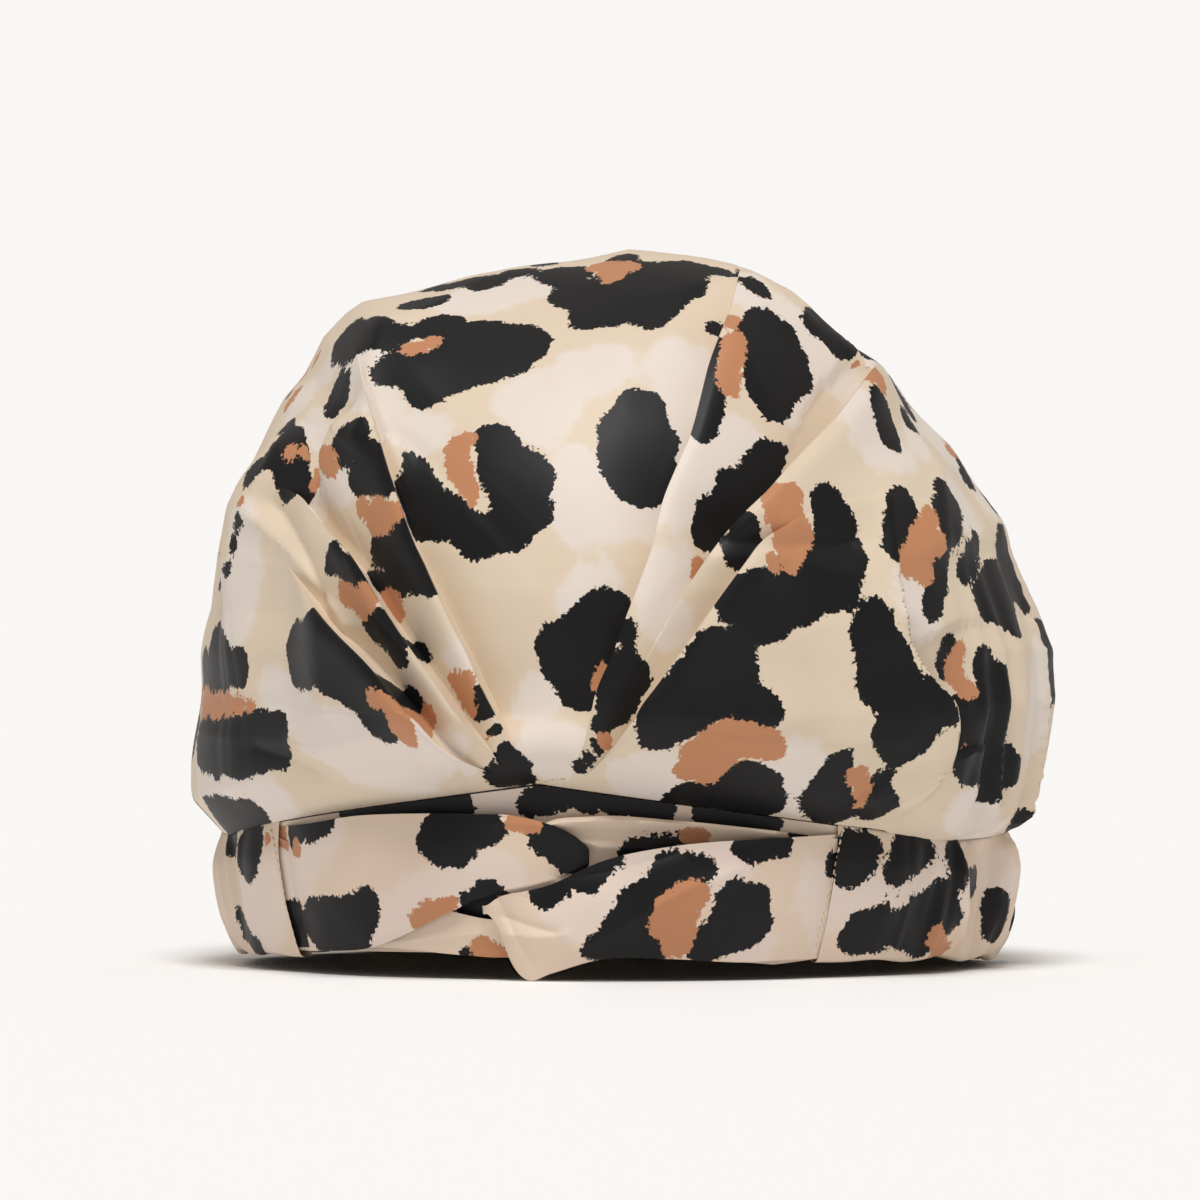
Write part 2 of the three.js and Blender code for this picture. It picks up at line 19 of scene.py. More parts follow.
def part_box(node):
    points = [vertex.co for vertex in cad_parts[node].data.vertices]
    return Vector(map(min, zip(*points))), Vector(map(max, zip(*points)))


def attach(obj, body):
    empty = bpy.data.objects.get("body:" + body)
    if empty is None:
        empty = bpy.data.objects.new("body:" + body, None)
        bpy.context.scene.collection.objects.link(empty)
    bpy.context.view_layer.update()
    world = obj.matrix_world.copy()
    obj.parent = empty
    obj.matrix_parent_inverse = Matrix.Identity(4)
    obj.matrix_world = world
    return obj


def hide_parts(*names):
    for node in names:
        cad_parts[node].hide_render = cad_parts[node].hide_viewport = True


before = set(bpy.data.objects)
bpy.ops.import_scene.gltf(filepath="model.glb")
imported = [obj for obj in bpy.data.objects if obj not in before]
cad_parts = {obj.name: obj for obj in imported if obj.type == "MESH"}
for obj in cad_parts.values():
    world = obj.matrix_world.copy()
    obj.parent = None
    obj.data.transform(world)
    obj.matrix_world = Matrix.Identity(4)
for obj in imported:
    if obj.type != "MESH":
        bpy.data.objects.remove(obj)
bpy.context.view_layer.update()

LOG = logging.getLogger("shower_cap")
MM = 0.001
PIXEL_MM = 0.32
CAP_BODY = "root"

Points = np.ndarray
Polyline = tuple[tuple[float, float], ...]


def smooth(share: Points) -> Points:
    """Eases a share from 0 to 1, held at both ends."""
    held = np.clip(share, 0.0, 1.0)
    return held * held * (3.0 - 2.0 * held)


def mix(low: Points, high: Points, share: Points) -> Points:
    """Gives the value that lies a share of the way from low to high."""
    return low + (high - low) * share


def bell(distance: Points, reach: float) -> Points:
    """Gives 1 at no distance, which falls off on both sides over the reach."""
    return np.exp(-((distance / reach) ** 2))


def unit(vectors: Points) -> Points:
    """Scales vectors to length one."""
    return vectors / np.maximum(np.linalg.norm(vectors, axis=-1, keepdims=True), 1e-9)


def level_out(points: Points) -> Points:
    """Gives the level directions from the band's middle to points."""
    return unit(points * [1.0, 1.0, 0.0])


def as_points(*coordinates: Points | float) -> Points:
    """Joins coordinates, spread to one shape, into points with the coordinates in the last axis."""
    return np.stack(np.broadcast_arrays(*coordinates), axis=-1)


def off_front(turn: Points, quiet_left: float, quiet_right: float, fade: float) -> Points:
    """Gives how fully gathers show, from 0 inside each side's quiet turn to 1 past the fade, in degrees."""
    return smooth(np.where(turn > 0.0, turn - quiet_right, -turn - quiet_left) / fade)


def add_piece(name: str, corners: Points, faces: list, material: bpy.types.Material) -> bpy.types.Object:
    """Makes a smooth mesh with a finish and puts it in the scene.

    Args:
        name: The piece's name.
        corners: Its corners in the row frame, in millimetres.
        faces: Its faces as corner numbers.
        material: The finish.

    Returns:
        The object.
    """
    mesh = bpy.data.meshes.new(name)
    mesh.from_pydata((corners * MM).tolist(), [], faces)
    mesh.polygons.foreach_set("use_smooth", [True] * len(mesh.polygons))
    mesh.materials.append(material)
    piece = bpy.data.objects.new(name, mesh)
    bpy.context.scene.collection.objects.link(piece)
    return piece


class Seed(Enum):
    """Where the chance of each print and each noise starts, so that every run gives the same cap."""

    CROWN_PRINT = 3
    LEFT_PRINT = 4
    RIGHT_PRINT = 5
    FACING_PRINT = 6
    CASING_PRINT = 7
    CROWN_GATHERS = 11
    CROWN_GATHER_CREASES = 12
    CROWN_RIDGES = 13
    CROWN_WRINKLES = 14
    LOOP_SWELLS = 21
    FACING_SWELLS = 31
    CASING_GATHERS = 41
    CASING_WRINKLES = 42
    LINING_WRINKLES = 51


@dataclass(frozen=True)
class Swells:
    """Smooth, random swells of cloth: their width, their height and their seed."""

    width: float
    rise: float
    seed: Seed

    def at(self, points: Points) -> Points:
        """Gives how far the swells stand out.

        Args:
            points: Places, with their coordinates in the last axis.

        Returns:
            One height for each point, from minus the rise to the rise.
        """
        table_size = 4096
        table = np.random.default_rng(self.seed.value).uniform(-1.0, 1.0, table_size)
        cell = points / self.width
        corner = np.floor(cell).astype(np.int64)
        part = smooth(cell - corner)
        # Large primes spread neighbouring cells over the table.
        primes = (73856093, 19349663, 83492791)
        total = np.zeros(points.shape[:-1])
        for code in range(2**3):
            weight = np.ones(points.shape[:-1])
            key = np.zeros(points.shape[:-1], np.int64)
            for axis, prime in enumerate(primes):
                one = (code >> axis) & 1
                weight = weight * (part[..., axis] if one else 1.0 - part[..., axis])
                key ^= (corner[..., axis] + one) * prime
            total += weight * table[key % table_size]
        return self.rise * total


@dataclass(frozen=True)
class LineFit:
    """How points lie to a line of straight stretches."""

    distance: Points
    offset: Points
    side: Points
    along: Points
    normal: Points
    length: float


def fit_to_line(points: Points, line: Points) -> LineFit:
    """Measures points against a line.

    Args:
        points: Flat places, one row each.
        line: The line's corners, one row each.

    Returns:
        The fit.
    """
    best = np.full(len(points), np.inf)
    offset = np.zeros_like(points)
    side = np.ones(len(points))
    along = np.zeros(len(points))
    middles, lefts = [], []
    walked = 0.0
    for start, end in zip(line[:-1], line[1:]):
        step = end - start
        length = float(np.hypot(*step))
        share = np.clip(((points - start) @ step) / length**2, 0.0, 1.0)
        away = points - (start + share[:, None] * step)
        distance = np.hypot(away[:, 0], away[:, 1])
        near = distance < best
        best = np.where(near, distance, best)
        offset[near] = away[near]
        turned = step[0] * away[:, 1] - step[1] * away[:, 0]
        side = np.where(near, np.where(turned >= 0.0, 1.0, -1.0), side)
        along = np.where(near, walked + share * length, along)
        middles.append(walked + length / 2.0)
        lefts.append((-step[1] / length, step[0] / length))
        walked += length
    normal = as_points(*(np.interp(along, middles, part) for part in zip(*lefts)))
    return LineFit(best, offset, side, along, unit(normal), walked)


@dataclass(frozen=True)
class PhotoView:
    """The photograph's camera, seen from the middle of the band."""

    azimuth: float = 12.0
    elevation: float = 2.0
    distance: float = 9000.0
    frame_pixels: float = 1200.0
    aim_right: float = -4.5
    aim_up: float = 116.5
    sensor: float = 36.0
    nearest_share: float = 0.01
    farthest_share: float = 10.0

    def axes(self) -> tuple[Points, Points, Points]:
        """Gives the directions to the right, up and back towards the camera.

        Returns:
            The three directions.
        """
        turn, rise = math.radians(self.azimuth), math.radians(self.elevation)
        right = np.array([math.cos(turn), math.sin(turn), 0.0])
        back = np.array([math.sin(turn) * math.cos(rise), -math.cos(turn) * math.cos(rise), math.sin(rise)])
        return right, np.cross(back, right), back

    def back(self) -> Points:
        """Gives the direction back towards the camera."""
        return self.axes()[2]

    def aim(self) -> Points:
        """Gives the point in the middle of the picture."""
        right, up, _ = self.axes()
        return right * self.aim_right + up * self.aim_up

    def pixels(self, points: Points) -> Points:
        """Finds where points show.

        Args:
            points: The points.

        Returns:
            Their pixels.
        """
        right, up, back = self.axes()
        away = points - (self.aim() + back * self.distance)
        scale = self.distance / -(away @ back) / PIXEL_MM
        middle = self.frame_pixels / 2.0
        return as_points(middle + (away @ right) * scale, middle - (away @ up) * scale)

    def ray(self, pixel: tuple[float, float]) -> tuple[Vector, Vector]:
        """Gives the line of sight through a pixel.

        Args:
            pixel: The pixel.

        Returns:
            The camera's place and the direction in which it sees the pixel.
        """
        right, up, back = self.axes()
        middle = self.frame_pixels / 2.0
        across, rise = (pixel[0] - middle) * PIXEL_MM, (middle - pixel[1]) * PIXEL_MM
        eye = self.aim() + back * self.distance
        target = self.aim() + right * across + up * rise
        return Vector(eye), Vector(target - eye).normalized()

    def camera(self, origin: Points) -> None:
        """Makes the camera and gives it to the scene.

        Args:
            origin: The middle of the band in the row frame.
        """
        right, up, back = self.axes()
        data = bpy.data.cameras.new("photo_camera")
        data.sensor_width = self.sensor
        data.lens = self.sensor * self.distance / (self.frame_pixels * PIXEL_MM)
        data.clip_start = self.distance * MM * self.nearest_share
        data.clip_end = self.distance * MM * self.farthest_share
        camera = bpy.data.objects.new("photo_camera", data)
        bpy.context.scene.collection.objects.link(camera)
        place = (origin + self.aim() + back * self.distance) * MM
        turned = Matrix((right, up, back)).transposed().to_4x4()
        camera.matrix_world = Matrix.Translation(Vector(place)) @ turned
        bpy.context.scene.camera = camera


@dataclass(frozen=True)
class BandForm:
    """The form of the band: its seam with the crown, its rim and the bands' taper between them."""

    half_width: float = 126.0
    half_depth: float = 115.0
    taper: float = 6.0
    front_rim: float = 7.2
    side_rim: float = 3.3
    side_seam: float = 42.0
    tack_lift: float = 20.0
    lift_turn: float = 66.0
    seam_turn: float = 46.5
    seam_slant: float = 1.6

    def radius(self) -> float:
        """Gives the band's mean radius."""
        return (self.half_width + self.half_depth) / 2.0

    def seam_height(self, turn: Points) -> Points:
        """Gives the height of the seam with the crown at turns in degrees from the front middle."""
        lift = np.maximum(0.0, 1.0 - np.abs(turn) / self.lift_turn)
        return self.side_seam + self.tack_lift * lift

    def rim_height(self, turn: Points) -> Points:
        """Gives the height of the rim at turns in degrees."""
        return np.maximum(0.0, self.side_rim + (self.front_rim - self.side_rim) * np.cos(np.radians(turn)))

    def back_turns(self, right_lap: float, left_lap: float, count: int) -> tuple[Points, Points]:
        """Lists turns round the back between the stitch lines, from 0 to 360 and again from -180 to 180."""
        full = np.linspace(self.seam_turn - right_lap, 360.0 - self.seam_turn + left_lap, count)[:, None]
        return full, np.where(full > 180.0, full - 360.0, full)

    def points(self, turn: Points, height: Points, out: Points) -> Points:
        """Gives points of the band.

        Args:
            turn: Degrees from the front middle.
            height: Heights over the surface that the cap stands on.
            out: Distances out from the band's outside.

        Returns:
            The points.
        """
        low = self.rim_height(turn)
        share = np.clip((height - low) / (self.seam_height(turn) - low), -1.0, 1.0)
        leaned = np.radians(turn + self.seam_slant * np.sin(np.radians(turn)) * (2.0 * share - 1.0))
        grown = out - self.taper * (1.0 - share)
        across = (self.half_width + grown) * np.sin(leaned)
        return as_points(across, -(self.half_depth + grown) * np.cos(leaned), height)


@dataclass(frozen=True)
class CrownForm:
    """The crown's plain form over a unit disc: its edge is the seam, its middle the top.

    Disc coordinates are called p, to the right, and q, to the back, so the front middle is at (0, -1).
    """

    band: BandForm
    half_width: float = 139.0
    half_depth: float = 127.0
    top: float = 231.0
    widest: float = 85.0
    lean_at_widest: float = 5.0
    lean_at_top: float = -12.5
    tuck_share: float = 0.14
    seam_gap: float = 0.4
    nudge: float = 0.004
    probe_turns: int = 240
    probe_rings: int = 80
    first_probe: float = 0.01
    last_probe: float = 0.998

    def surface(self, p: Points, q: Points) -> Points:
        """Gives points of the form.

        Args:
            p: First disc coordinate.
            q: Second disc coordinate.

        Returns:
            The points.
        """
        turn = np.arctan2(p, -q)
        inward = 1.0 - np.hypot(p, q)
        rim = self.band.seam_height(np.degrees(turn)) + self.seam_gap
        down = np.clip(1.0 - inward / self.tuck_share, 0.0, 1.0)
        low = as_points(
            self.bow(self.band.half_width, self.half_width, down) * np.sin(turn)
            + self.lean_at_widest * (1.0 - down),
            -self.bow(self.band.half_depth, self.half_depth, down) * np.cos(turn),
            mix(self.widest, rim, down),
        )
        climb = np.clip((inward - self.tuck_share) / (1.0 - self.tuck_share), 0.0, 1.0) * math.pi / 2.0
        lean = mix(self.lean_at_widest, self.lean_at_top, np.sin(climb))
        high = as_points(
            self.half_width * np.cos(climb) * np.sin(turn) + lean,
            -self.half_depth * np.cos(climb) * np.cos(turn),
            mix(self.widest, self.top, np.sin(climb)),
        )
        return np.where((inward < self.tuck_share)[..., None], low, high)

    @staticmethod
    def bow(seam: float, widest: float, down: Points) -> Points:
        """Gives the half size between the widest height and the seam, by a curve that draws in late."""
        return np.cbrt(1.0 - (1.0 - (seam / widest) ** 3) * down**3) * widest

    def normal(self, p: Points, q: Points) -> Points:
        """Gives the directions out of the form.

        Args:
            p: First disc coordinate.
            q: Second disc coordinate.

        Returns:
            The directions.
        """
        size = np.maximum(np.hypot(p, q), self.nudge)
        room = np.minimum(1.0, (1.0 - self.nudge * 2.0) / size)
        u, v = p * room, q * room
        along_p = self.surface(u + self.nudge, v) - self.surface(u - self.nudge, v)
        along_q = self.surface(u, v + self.nudge) - self.surface(u, v - self.nudge)
        return unit(np.cross(along_p, along_q))

    def sites(self, view: PhotoView, line: Points) -> Points:
        """Finds the places of the disc that show at pixels of the photograph.

        Args:
            view: The photograph's camera.
            line: The pixels, one row each.

        Returns:
            One row of disc coordinates for each pixel that meets the form.
        """
        turns, rings = self.probe_turns, self.probe_rings
        angle, reach = np.meshgrid(
            np.arange(turns) * 2.0 * math.pi / turns, np.linspace(self.first_probe, self.last_probe, rings)
        )
        p, q = (reach * np.sin(angle)).ravel(), (-reach * np.cos(angle)).ravel()
        faces = []
        for i in range(rings - 1):
            for j in range(turns):
                a, b = i * turns + j, i * turns + (j + 1) % turns
                faces += [(a, b, b + turns), (a, b + turns, a + turns)]
        places = self.surface(p, q)
        tree = BVHTree.FromPolygons(places.tolist(), faces)
        found = []
        for pixel in line:
            spot, _, index, _ = tree.ray_cast(*view.ray(pixel))
            if spot is None:
                continue
            corners = list(faces[index])
            weights = corner_weights(np.array(spot), places[corners])
            found.append([weights @ p[corners], weights @ q[corners]])
        return np.array(found)


def corner_weights(spot: Points, corners: Points) -> Points:
    """Gives the shares in which a triangle's corners make up a spot on it.

    Args:
        spot: The spot.
        corners: The three corners, one row each.

    Returns:
        The shares, whose sum is held at one by a last, heavy equation.
    """
    heavy = 1e3
    rows = np.vstack([corners.T, np.full(3, heavy)])
    return np.linalg.lstsq(rows, np.append(spot, heavy), rcond=None)[0]


class Side(Enum):
    """The side of a fold on which its upper layer lies, as the photograph shows it."""

    LEFT = -1
    RIGHT = 1


@dataclass(frozen=True)
class Pleat:
    """A pleat that starts at the tack.

    Attributes:
        side: The side on which the cloth lies over the cloth beyond the edge.
        edge: The edge's pixels, from the tack outwards.
        rise: How high it stands.
        overlap: How far it lies over the cloth beyond.
        puff: How far back from the edge it slopes down.
        appears: The reaches from the tack between which it comes in.
        fades: The reaches between which it fades out.
    """

    side: Side
    edge: Polyline
    rise: float
    overlap: float
    puff: float
    appears: tuple[float, float]
    fades: tuple[float, float]


@dataclass(frozen=True)
class Fold:
    """A fold away from the tack, with a pleat's values but for its ends.

    Attributes:
        fades: Over what length of the disc it comes in at its top and fades at its bottom.
        dip: How deep the valley beyond its edge is.
    """

    side: Side
    edge: Polyline
    rise: float
    overlap: float
    puff: float
    fades: tuple[float, float]
    dip: float


@dataclass(frozen=True)
class Crease:
    """A soft ridge or valley: its line of pixels, its height and how far it spreads."""

    line: Polyline
    rise: float
    spread: float

    def height(self, pixels: Points, line: Points) -> Points:
        """Gives how far it stands out at pixels, with its line where it is drawn."""
        return self.rise * np.exp(-fit_to_line(pixels, line).distance * PIXEL_MM / self.spread)


LEFT_PLEATS = (
    Pleat(  # lower left
        Side.LEFT,
        ((487, 770), (475, 761), (438, 720), (425, 705), (412, 688), (394, 666), (371, 642), (350, 623),
         (330, 604), (300, 572)),
        rise=9.0, overlap=5.5, puff=30.0, appears=(0.05, 0.2), fades=(0.46, 0.62),
    ),
    Pleat(  # middle left
        Side.LEFT,
        ((506, 770), (490, 748), (471, 721), (444, 680), (431, 663), (403, 620), (388, 594), (367, 562),
         (339, 536), (310, 503)),
        rise=7.0, overlap=5.0, puff=20.0, appears=(0.05, 0.2), fades=(0.56, 0.72),
    ),
    Pleat(  # upper left
        Side.LEFT,
        ((534, 781), (527, 777), (513, 755), (496, 718), (480, 682), (471, 655), (460, 633), (441, 588),
         (431, 560), (424, 548), (399, 462), (370, 370)),
        rise=7.0, overlap=4.5, puff=18.0, appears=(0.05, 0.2), fades=(0.45, 0.75),
    ),
)
RIGHT_PLEATS = (
    Pleat(  # inner right
        Side.RIGHT,
        ((566, 777), (588, 722), (592, 707), (613, 658), (635, 597), (649, 560), (661, 505), (689, 441),
         (704, 377), (725, 322), (731, 276)),
        rise=6.0, overlap=4.0, puff=22.0, appears=(0.05, 0.2), fades=(0.65, 1.02),
    ),
    Pleat(  # upper right
        Side.RIGHT,
        ((646, 661), (692, 581), (708, 558), (722, 539), (756, 507), (797, 461), (820, 438), (863, 380)),
        rise=8.5, overlap=5.0, puff=32.0, appears=(0.3, 0.5), fades=(0.82, 1.06),
    ),
    Pleat(  # lower right
        Side.RIGHT,
        ((578, 780), (590, 771), (610, 747), (636, 713), (655, 689), (686, 645), (719, 597), (737, 572),
         (748, 556)),
        rise=8.0, overlap=5.0, puff=26.0, appears=(0.05, 0.2), fades=(0.46, 0.6),
    ),
)
CROWN_FOLDS = (
    Fold(  # top right
        Side.RIGHT,
        ((866, 384), (847, 361), (811, 331), (776, 304), (735, 278)),
        rise=2.5, overlap=2.0, puff=22.0, fades=(0.05, 0.08), dip=6.0,
    ),
    Fold(  # left flap
        Side.RIGHT,
        ((371, 405), (366, 423), (340, 462), (312, 498)),
        rise=5.5, overlap=2.5, puff=20.0, fades=(0.06, 0.06), dip=3.0,
    ),
    Fold(  # left side
        Side.RIGHT,
        ((283, 420), (264, 465), (246, 493), (241, 511), (231, 546), (220, 585)),
        rise=5.0, overlap=2.5, puff=26.0, fades=(0.08, 0.08), dip=3.0,
    ),
    Fold(  # right side
        Side.LEFT,
        ((880, 550), (890, 617), (897, 657), (918, 697), (936, 728), (926, 765), (913, 840)),
        rise=7.0, overlap=4.5, puff=26.0, fades=(0.3, 0.06), dip=15.0,
    ),
)
CROWN_CREASES = (
    Crease(((254, 518), (290, 556), (323, 592), (352, 628)), 3.2, 6.0),
    Crease(((268, 503), (298, 550), (325, 597)), -3.0, 5.0),
    Crease(((245, 504), (262, 474), (277, 449)), 2.5, 7.0),
    Crease(((424, 548), (399, 462), (370, 370)), 2.2, 9.0),
    Crease(((388, 340), (378, 400), (360, 440)), 2.5, 8.0),
    Crease(((725, 538), (790, 545), (850, 540)), -2.2, 7.0),
    Crease(((731, 276), (776, 304), (847, 361), (863, 380)), 3.5, 14.0),
    Crease(((863, 380), (898, 426), (931, 478), (940, 539)), 2.5, 10.0),
    Crease(((885, 505), (888, 550), (903, 617)), 2.5, 9.0),
    Crease(((545, 256), (470, 290), (395, 330)), 2.0, 9.0),
    Crease(((700, 560), (780, 556), (850, 580)), 1.2, 8.0),
    Crease(((255, 748), (300, 762), (340, 790)), -2.4, 7.0),
    Crease(((355, 803), (332, 788), (305, 768)), -2.2, 4.5),
    Crease(((300, 742), (335, 765), (385, 792)), 1.6, 5.0),
    Crease(((402, 800), (395, 780), (380, 755)), -1.2, 4.0),
    Crease(((960, 830), (975, 780), (972, 720)), 2.5, 6.0),
    Crease(((992, 840), (990, 800), (1000, 750)), -2.0, 5.0),
    Crease(((747, 267), (700, 300), (650, 330)), -1.2, 9.0),
    Crease(((690, 728), (760, 742), (830, 744), (900, 742)), 2.4, 13.0),
    Crease(((215, 735), (280, 742), (345, 748)), 1.6, 12.0),
)


# The crown's outline in the photograph, from the band's left end over the top to its right end.
OUTLINE = (
    (210, 835), (192, 802), (189, 760), (189, 700), (198, 655), (210, 607), (212, 552), (223, 515),
    (240, 472), (260, 436), (283, 396), (303, 373), (323, 336), (346, 313), (362, 301), (412, 288),
    (478, 271), (551, 256), (629, 243), (690, 251), (747, 267), (768, 276), (811, 303), (851, 337),
    (885, 368), (918, 408), (952, 444), (983, 484), (1007, 512), (1016, 524), (1022, 548), (1044, 597),
    (1053, 620), (1064, 651), (1059, 697), (1044, 777), (1035, 816), (1027, 841),
)


def rounded(line: Polyline, rounds: int = 3, cut: float = 0.25) -> Points:
    """Rounds a line's corners and keeps its ends.

    Args:
        line: The corners.
        rounds: How often they are cut off.
        cut: The share of each stretch that a cut takes at either end.

    Returns:
        The new corners, one row each.
    """
    corners = np.array(line, float)
    for _ in range(rounds):
        near, far = mix(corners[:-1], corners[1:], cut), mix(corners[:-1], corners[1:], 1.0 - cut)
        inner = np.stack([near, far], axis=1).reshape(-1, 2)[1:-1]
        corners = np.vstack([corners[:1], inner, corners[-1:]])
    return corners


@dataclass
class OutlineFit:
    """Draws the crown's outline out to the photograph's, most at the edge and not at all in the middle."""

    view: PhotoView
    points: Points
    middle: tuple[float, float] = (622.0, 640.0)
    steps: int = 720
    window: int = 20
    from_share: float = 0.35
    fade: float = 0.12
    rounds: int = 16

    def __post_init__(self) -> None:
        """Works out how far the outline reaches in each direction, and how far it should."""
        wanted_angle, wanted_reach = self.polar(np.array(OUTLINE, float))
        self.bins = np.linspace(wanted_angle[0], wanted_angle[-1], self.steps)
        wanted = self.along_polygon(self.bins, wanted_angle, wanted_reach)
        angle, reach = self.polar(self.view.pixels(self.points).reshape(-1, 2))
        index = np.clip(np.searchsorted(self.bins, angle), 0, self.steps - 1)
        own = np.zeros(self.steps)
        np.maximum.at(own, index, reach)
        width = 2 * self.window + 1
        padded = np.pad(own, self.window, mode="edge")
        own = np.max([padded[i : i + self.steps] for i in range(width)], axis=0)
        kernel = np.hanning(width)
        self.own = np.convolve(np.pad(own, self.window, mode="edge"), kernel / kernel.sum(), mode="valid")
        self.share = wanted / self.own

    def polar(self, pixels: Points) -> tuple[Points, Points]:
        """Gives pixels' angles from straight up, to the right, and their reaches from the middle."""
        away = pixels - self.middle
        return np.arctan2(away[..., 0], -away[..., 1]), np.hypot(away[..., 0], away[..., 1])

    def change(self, pixels: Points) -> Points:
        """Gives how far pixels are drawn.

        Args:
            pixels: The pixels.

        Returns:
            The way that each moves, in pixels.
        """
        angle, reach = self.polar(pixels)
        inside = smooth((angle - self.bins[0]) / self.fade) * smooth((self.bins[-1] - angle) / self.fade)
        share = reach / np.interp(angle, self.bins, self.own)
        near = smooth((share - self.from_share) / (1.0 - self.from_share))
        grown = (np.interp(angle, self.bins, self.share) - 1.0) * inside * near
        return (pixels - self.middle) * grown[..., None]

    def moves(self, points: Points) -> Points:
        """Gives how far points are drawn across the picture.

        Args:
            points: The points.

        Returns:
            The way that each moves.
        """
        right, up, _ = self.view.axes()
        change = self.change(self.view.pixels(points)) * PIXEL_MM
        return change[..., :1] * right - change[..., 1:] * up

    def before(self, line: Polyline | Points) -> Points:
        """Finds the pixels that are drawn onto those of a line.

        Args:
            line: The line's pixels.

        Returns:
            The pixels before the change, one row each.
        """
        wanted = np.array(line, float)
        spots = wanted
        for _ in range(self.rounds):
            spots = wanted - self.change(spots)
        return spots

    @staticmethod
    def along_polygon(bins: Points, angles: Points, reaches: Points) -> Points:
        """Gives how far a straight-sided outline reaches.

        Args:
            bins: The angles that are asked for.
            angles: The angles of the outline's corners.
            reaches: The reaches of its corners.

        Returns:
            The reach at each angle asked for.
        """
        index = np.clip(np.searchsorted(angles, bins, side="right") - 1, 0, len(angles) - 2)
        a0, a1, r0, r1 = angles[index], angles[index + 1], reaches[index], reaches[index + 1]
        return r0 * r1 * np.sin(a1 - a0) / (r0 * np.sin(bins - a0) + r1 * np.sin(a1 - bins))


class Paint(Enum):
    """The print's colours over its ground."""

    CREAM = "cream"
    CHARCOAL = "charcoal"
    CARAMEL = "caramel"


@dataclass
class ClothSurface:
    """A grid of points, by column and row, that becomes one mesh of cloth, with fields for its finish.

    Its layers are further coordinates, which keep the print of one layer off the next. A closed cloth's last
    column joins its first, and a ring's last row does.
    """

    name: str
    points: Points
    layers: Points | None = None
    closed: bool = False
    ring: bool = False
    fields: dict[str, Points] = field(default_factory=dict)
    sharp: float = 50.0

    def faces(self) -> list[tuple[int, int, int, int]]:
        """Gives the mesh's faces as corner numbers.

        Returns:
            The faces.
        """
        columns, rows = self.points.shape[:2]
        made = []
        for i in range(columns if self.closed else columns - 1):
            for j in range(rows if self.ring else rows - 1):
                right, up = (i + 1) % columns, (j + 1) % rows
                made.append((i * rows + j, right * rows + j, right * rows + up, i * rows + up))
        return made

    def places(self) -> Points:
        """Gives the points as one list."""
        return self.points.reshape(-1, 3)

    def features(self) -> Points:
        """Gives each point's place in the cloth: its own three coordinates and its layers."""
        layers = np.zeros(len(self.places())) if self.layers is None else self.layers
        return np.hstack([self.places(), layers.reshape(len(self.places()), -1)])

    def tree(self) -> BVHTree:
        """Gives the cloth as a tree that rays can be cast at."""
        return BVHTree.FromPolygons(self.places().tolist(), self.faces())

    def build(self, origin: Points, material: bpy.types.Material) -> bpy.types.Object:
        """Makes the piece.

        Args:
            origin: The middle of the band in the row frame.
            material: The finish.

        Returns:
            The object.
        """
        piece = add_piece(self.name, self.places() + origin, self.faces(), material)
        for name, values in self.fields.items():
            layer = piece.data.attributes.new(name, "FLOAT", "POINT")
            layer.data.foreach_set("value", values.astype(np.float32).ravel())
        piece.data.set_sharp_from_angle(angle=math.radians(self.sharp))
        return piece


@dataclass(frozen=True)
class FoldStep:
    """One of the columns that draw a pleat's edge, from the cloth that lies over to the cloth under it.

    Attributes:
        rise: Its height as a share of the pleat's.
        back: How far back from the edge it lies, as a share of the room there.
        under: How far back under the edge it is tucked, as a share of the overlap.
        apart: Small steps that keep it off its neighbours where the pleat has faded.
        layer: 1 on the upper layer, -1 on the lower one and 0 between them.
    """

    rise: float
    back: float
    under: float
    apart: float
    layer: float


FOLD_STEPS = (
    FoldStep(rise=1.0, back=0.45, under=0.0, apart=0.0, layer=1.0),
    FoldStep(rise=1.0, back=0.12, under=0.0, apart=0.0, layer=1.0),
    FoldStep(rise=0.86, back=0.0, under=0.0, apart=0.0, layer=1.0),
    FoldStep(rise=0.7, back=0.0, under=0.35, apart=-1.0, layer=1.0),
    FoldStep(rise=0.45, back=0.0, under=1.0, apart=-2.0, layer=0.0),
    FoldStep(rise=-0.02, back=0.0, under=0.9, apart=-3.0, layer=-1.0),
)
BEYOND_FOLD = -4.0


@dataclass(frozen=True)
class Column:
    """A column of the crown's fan: a share of the gap between two edges, or a step of one edge."""

    number: int
    spread: float
    share: float = 0.0
    step: FoldStep | None = None


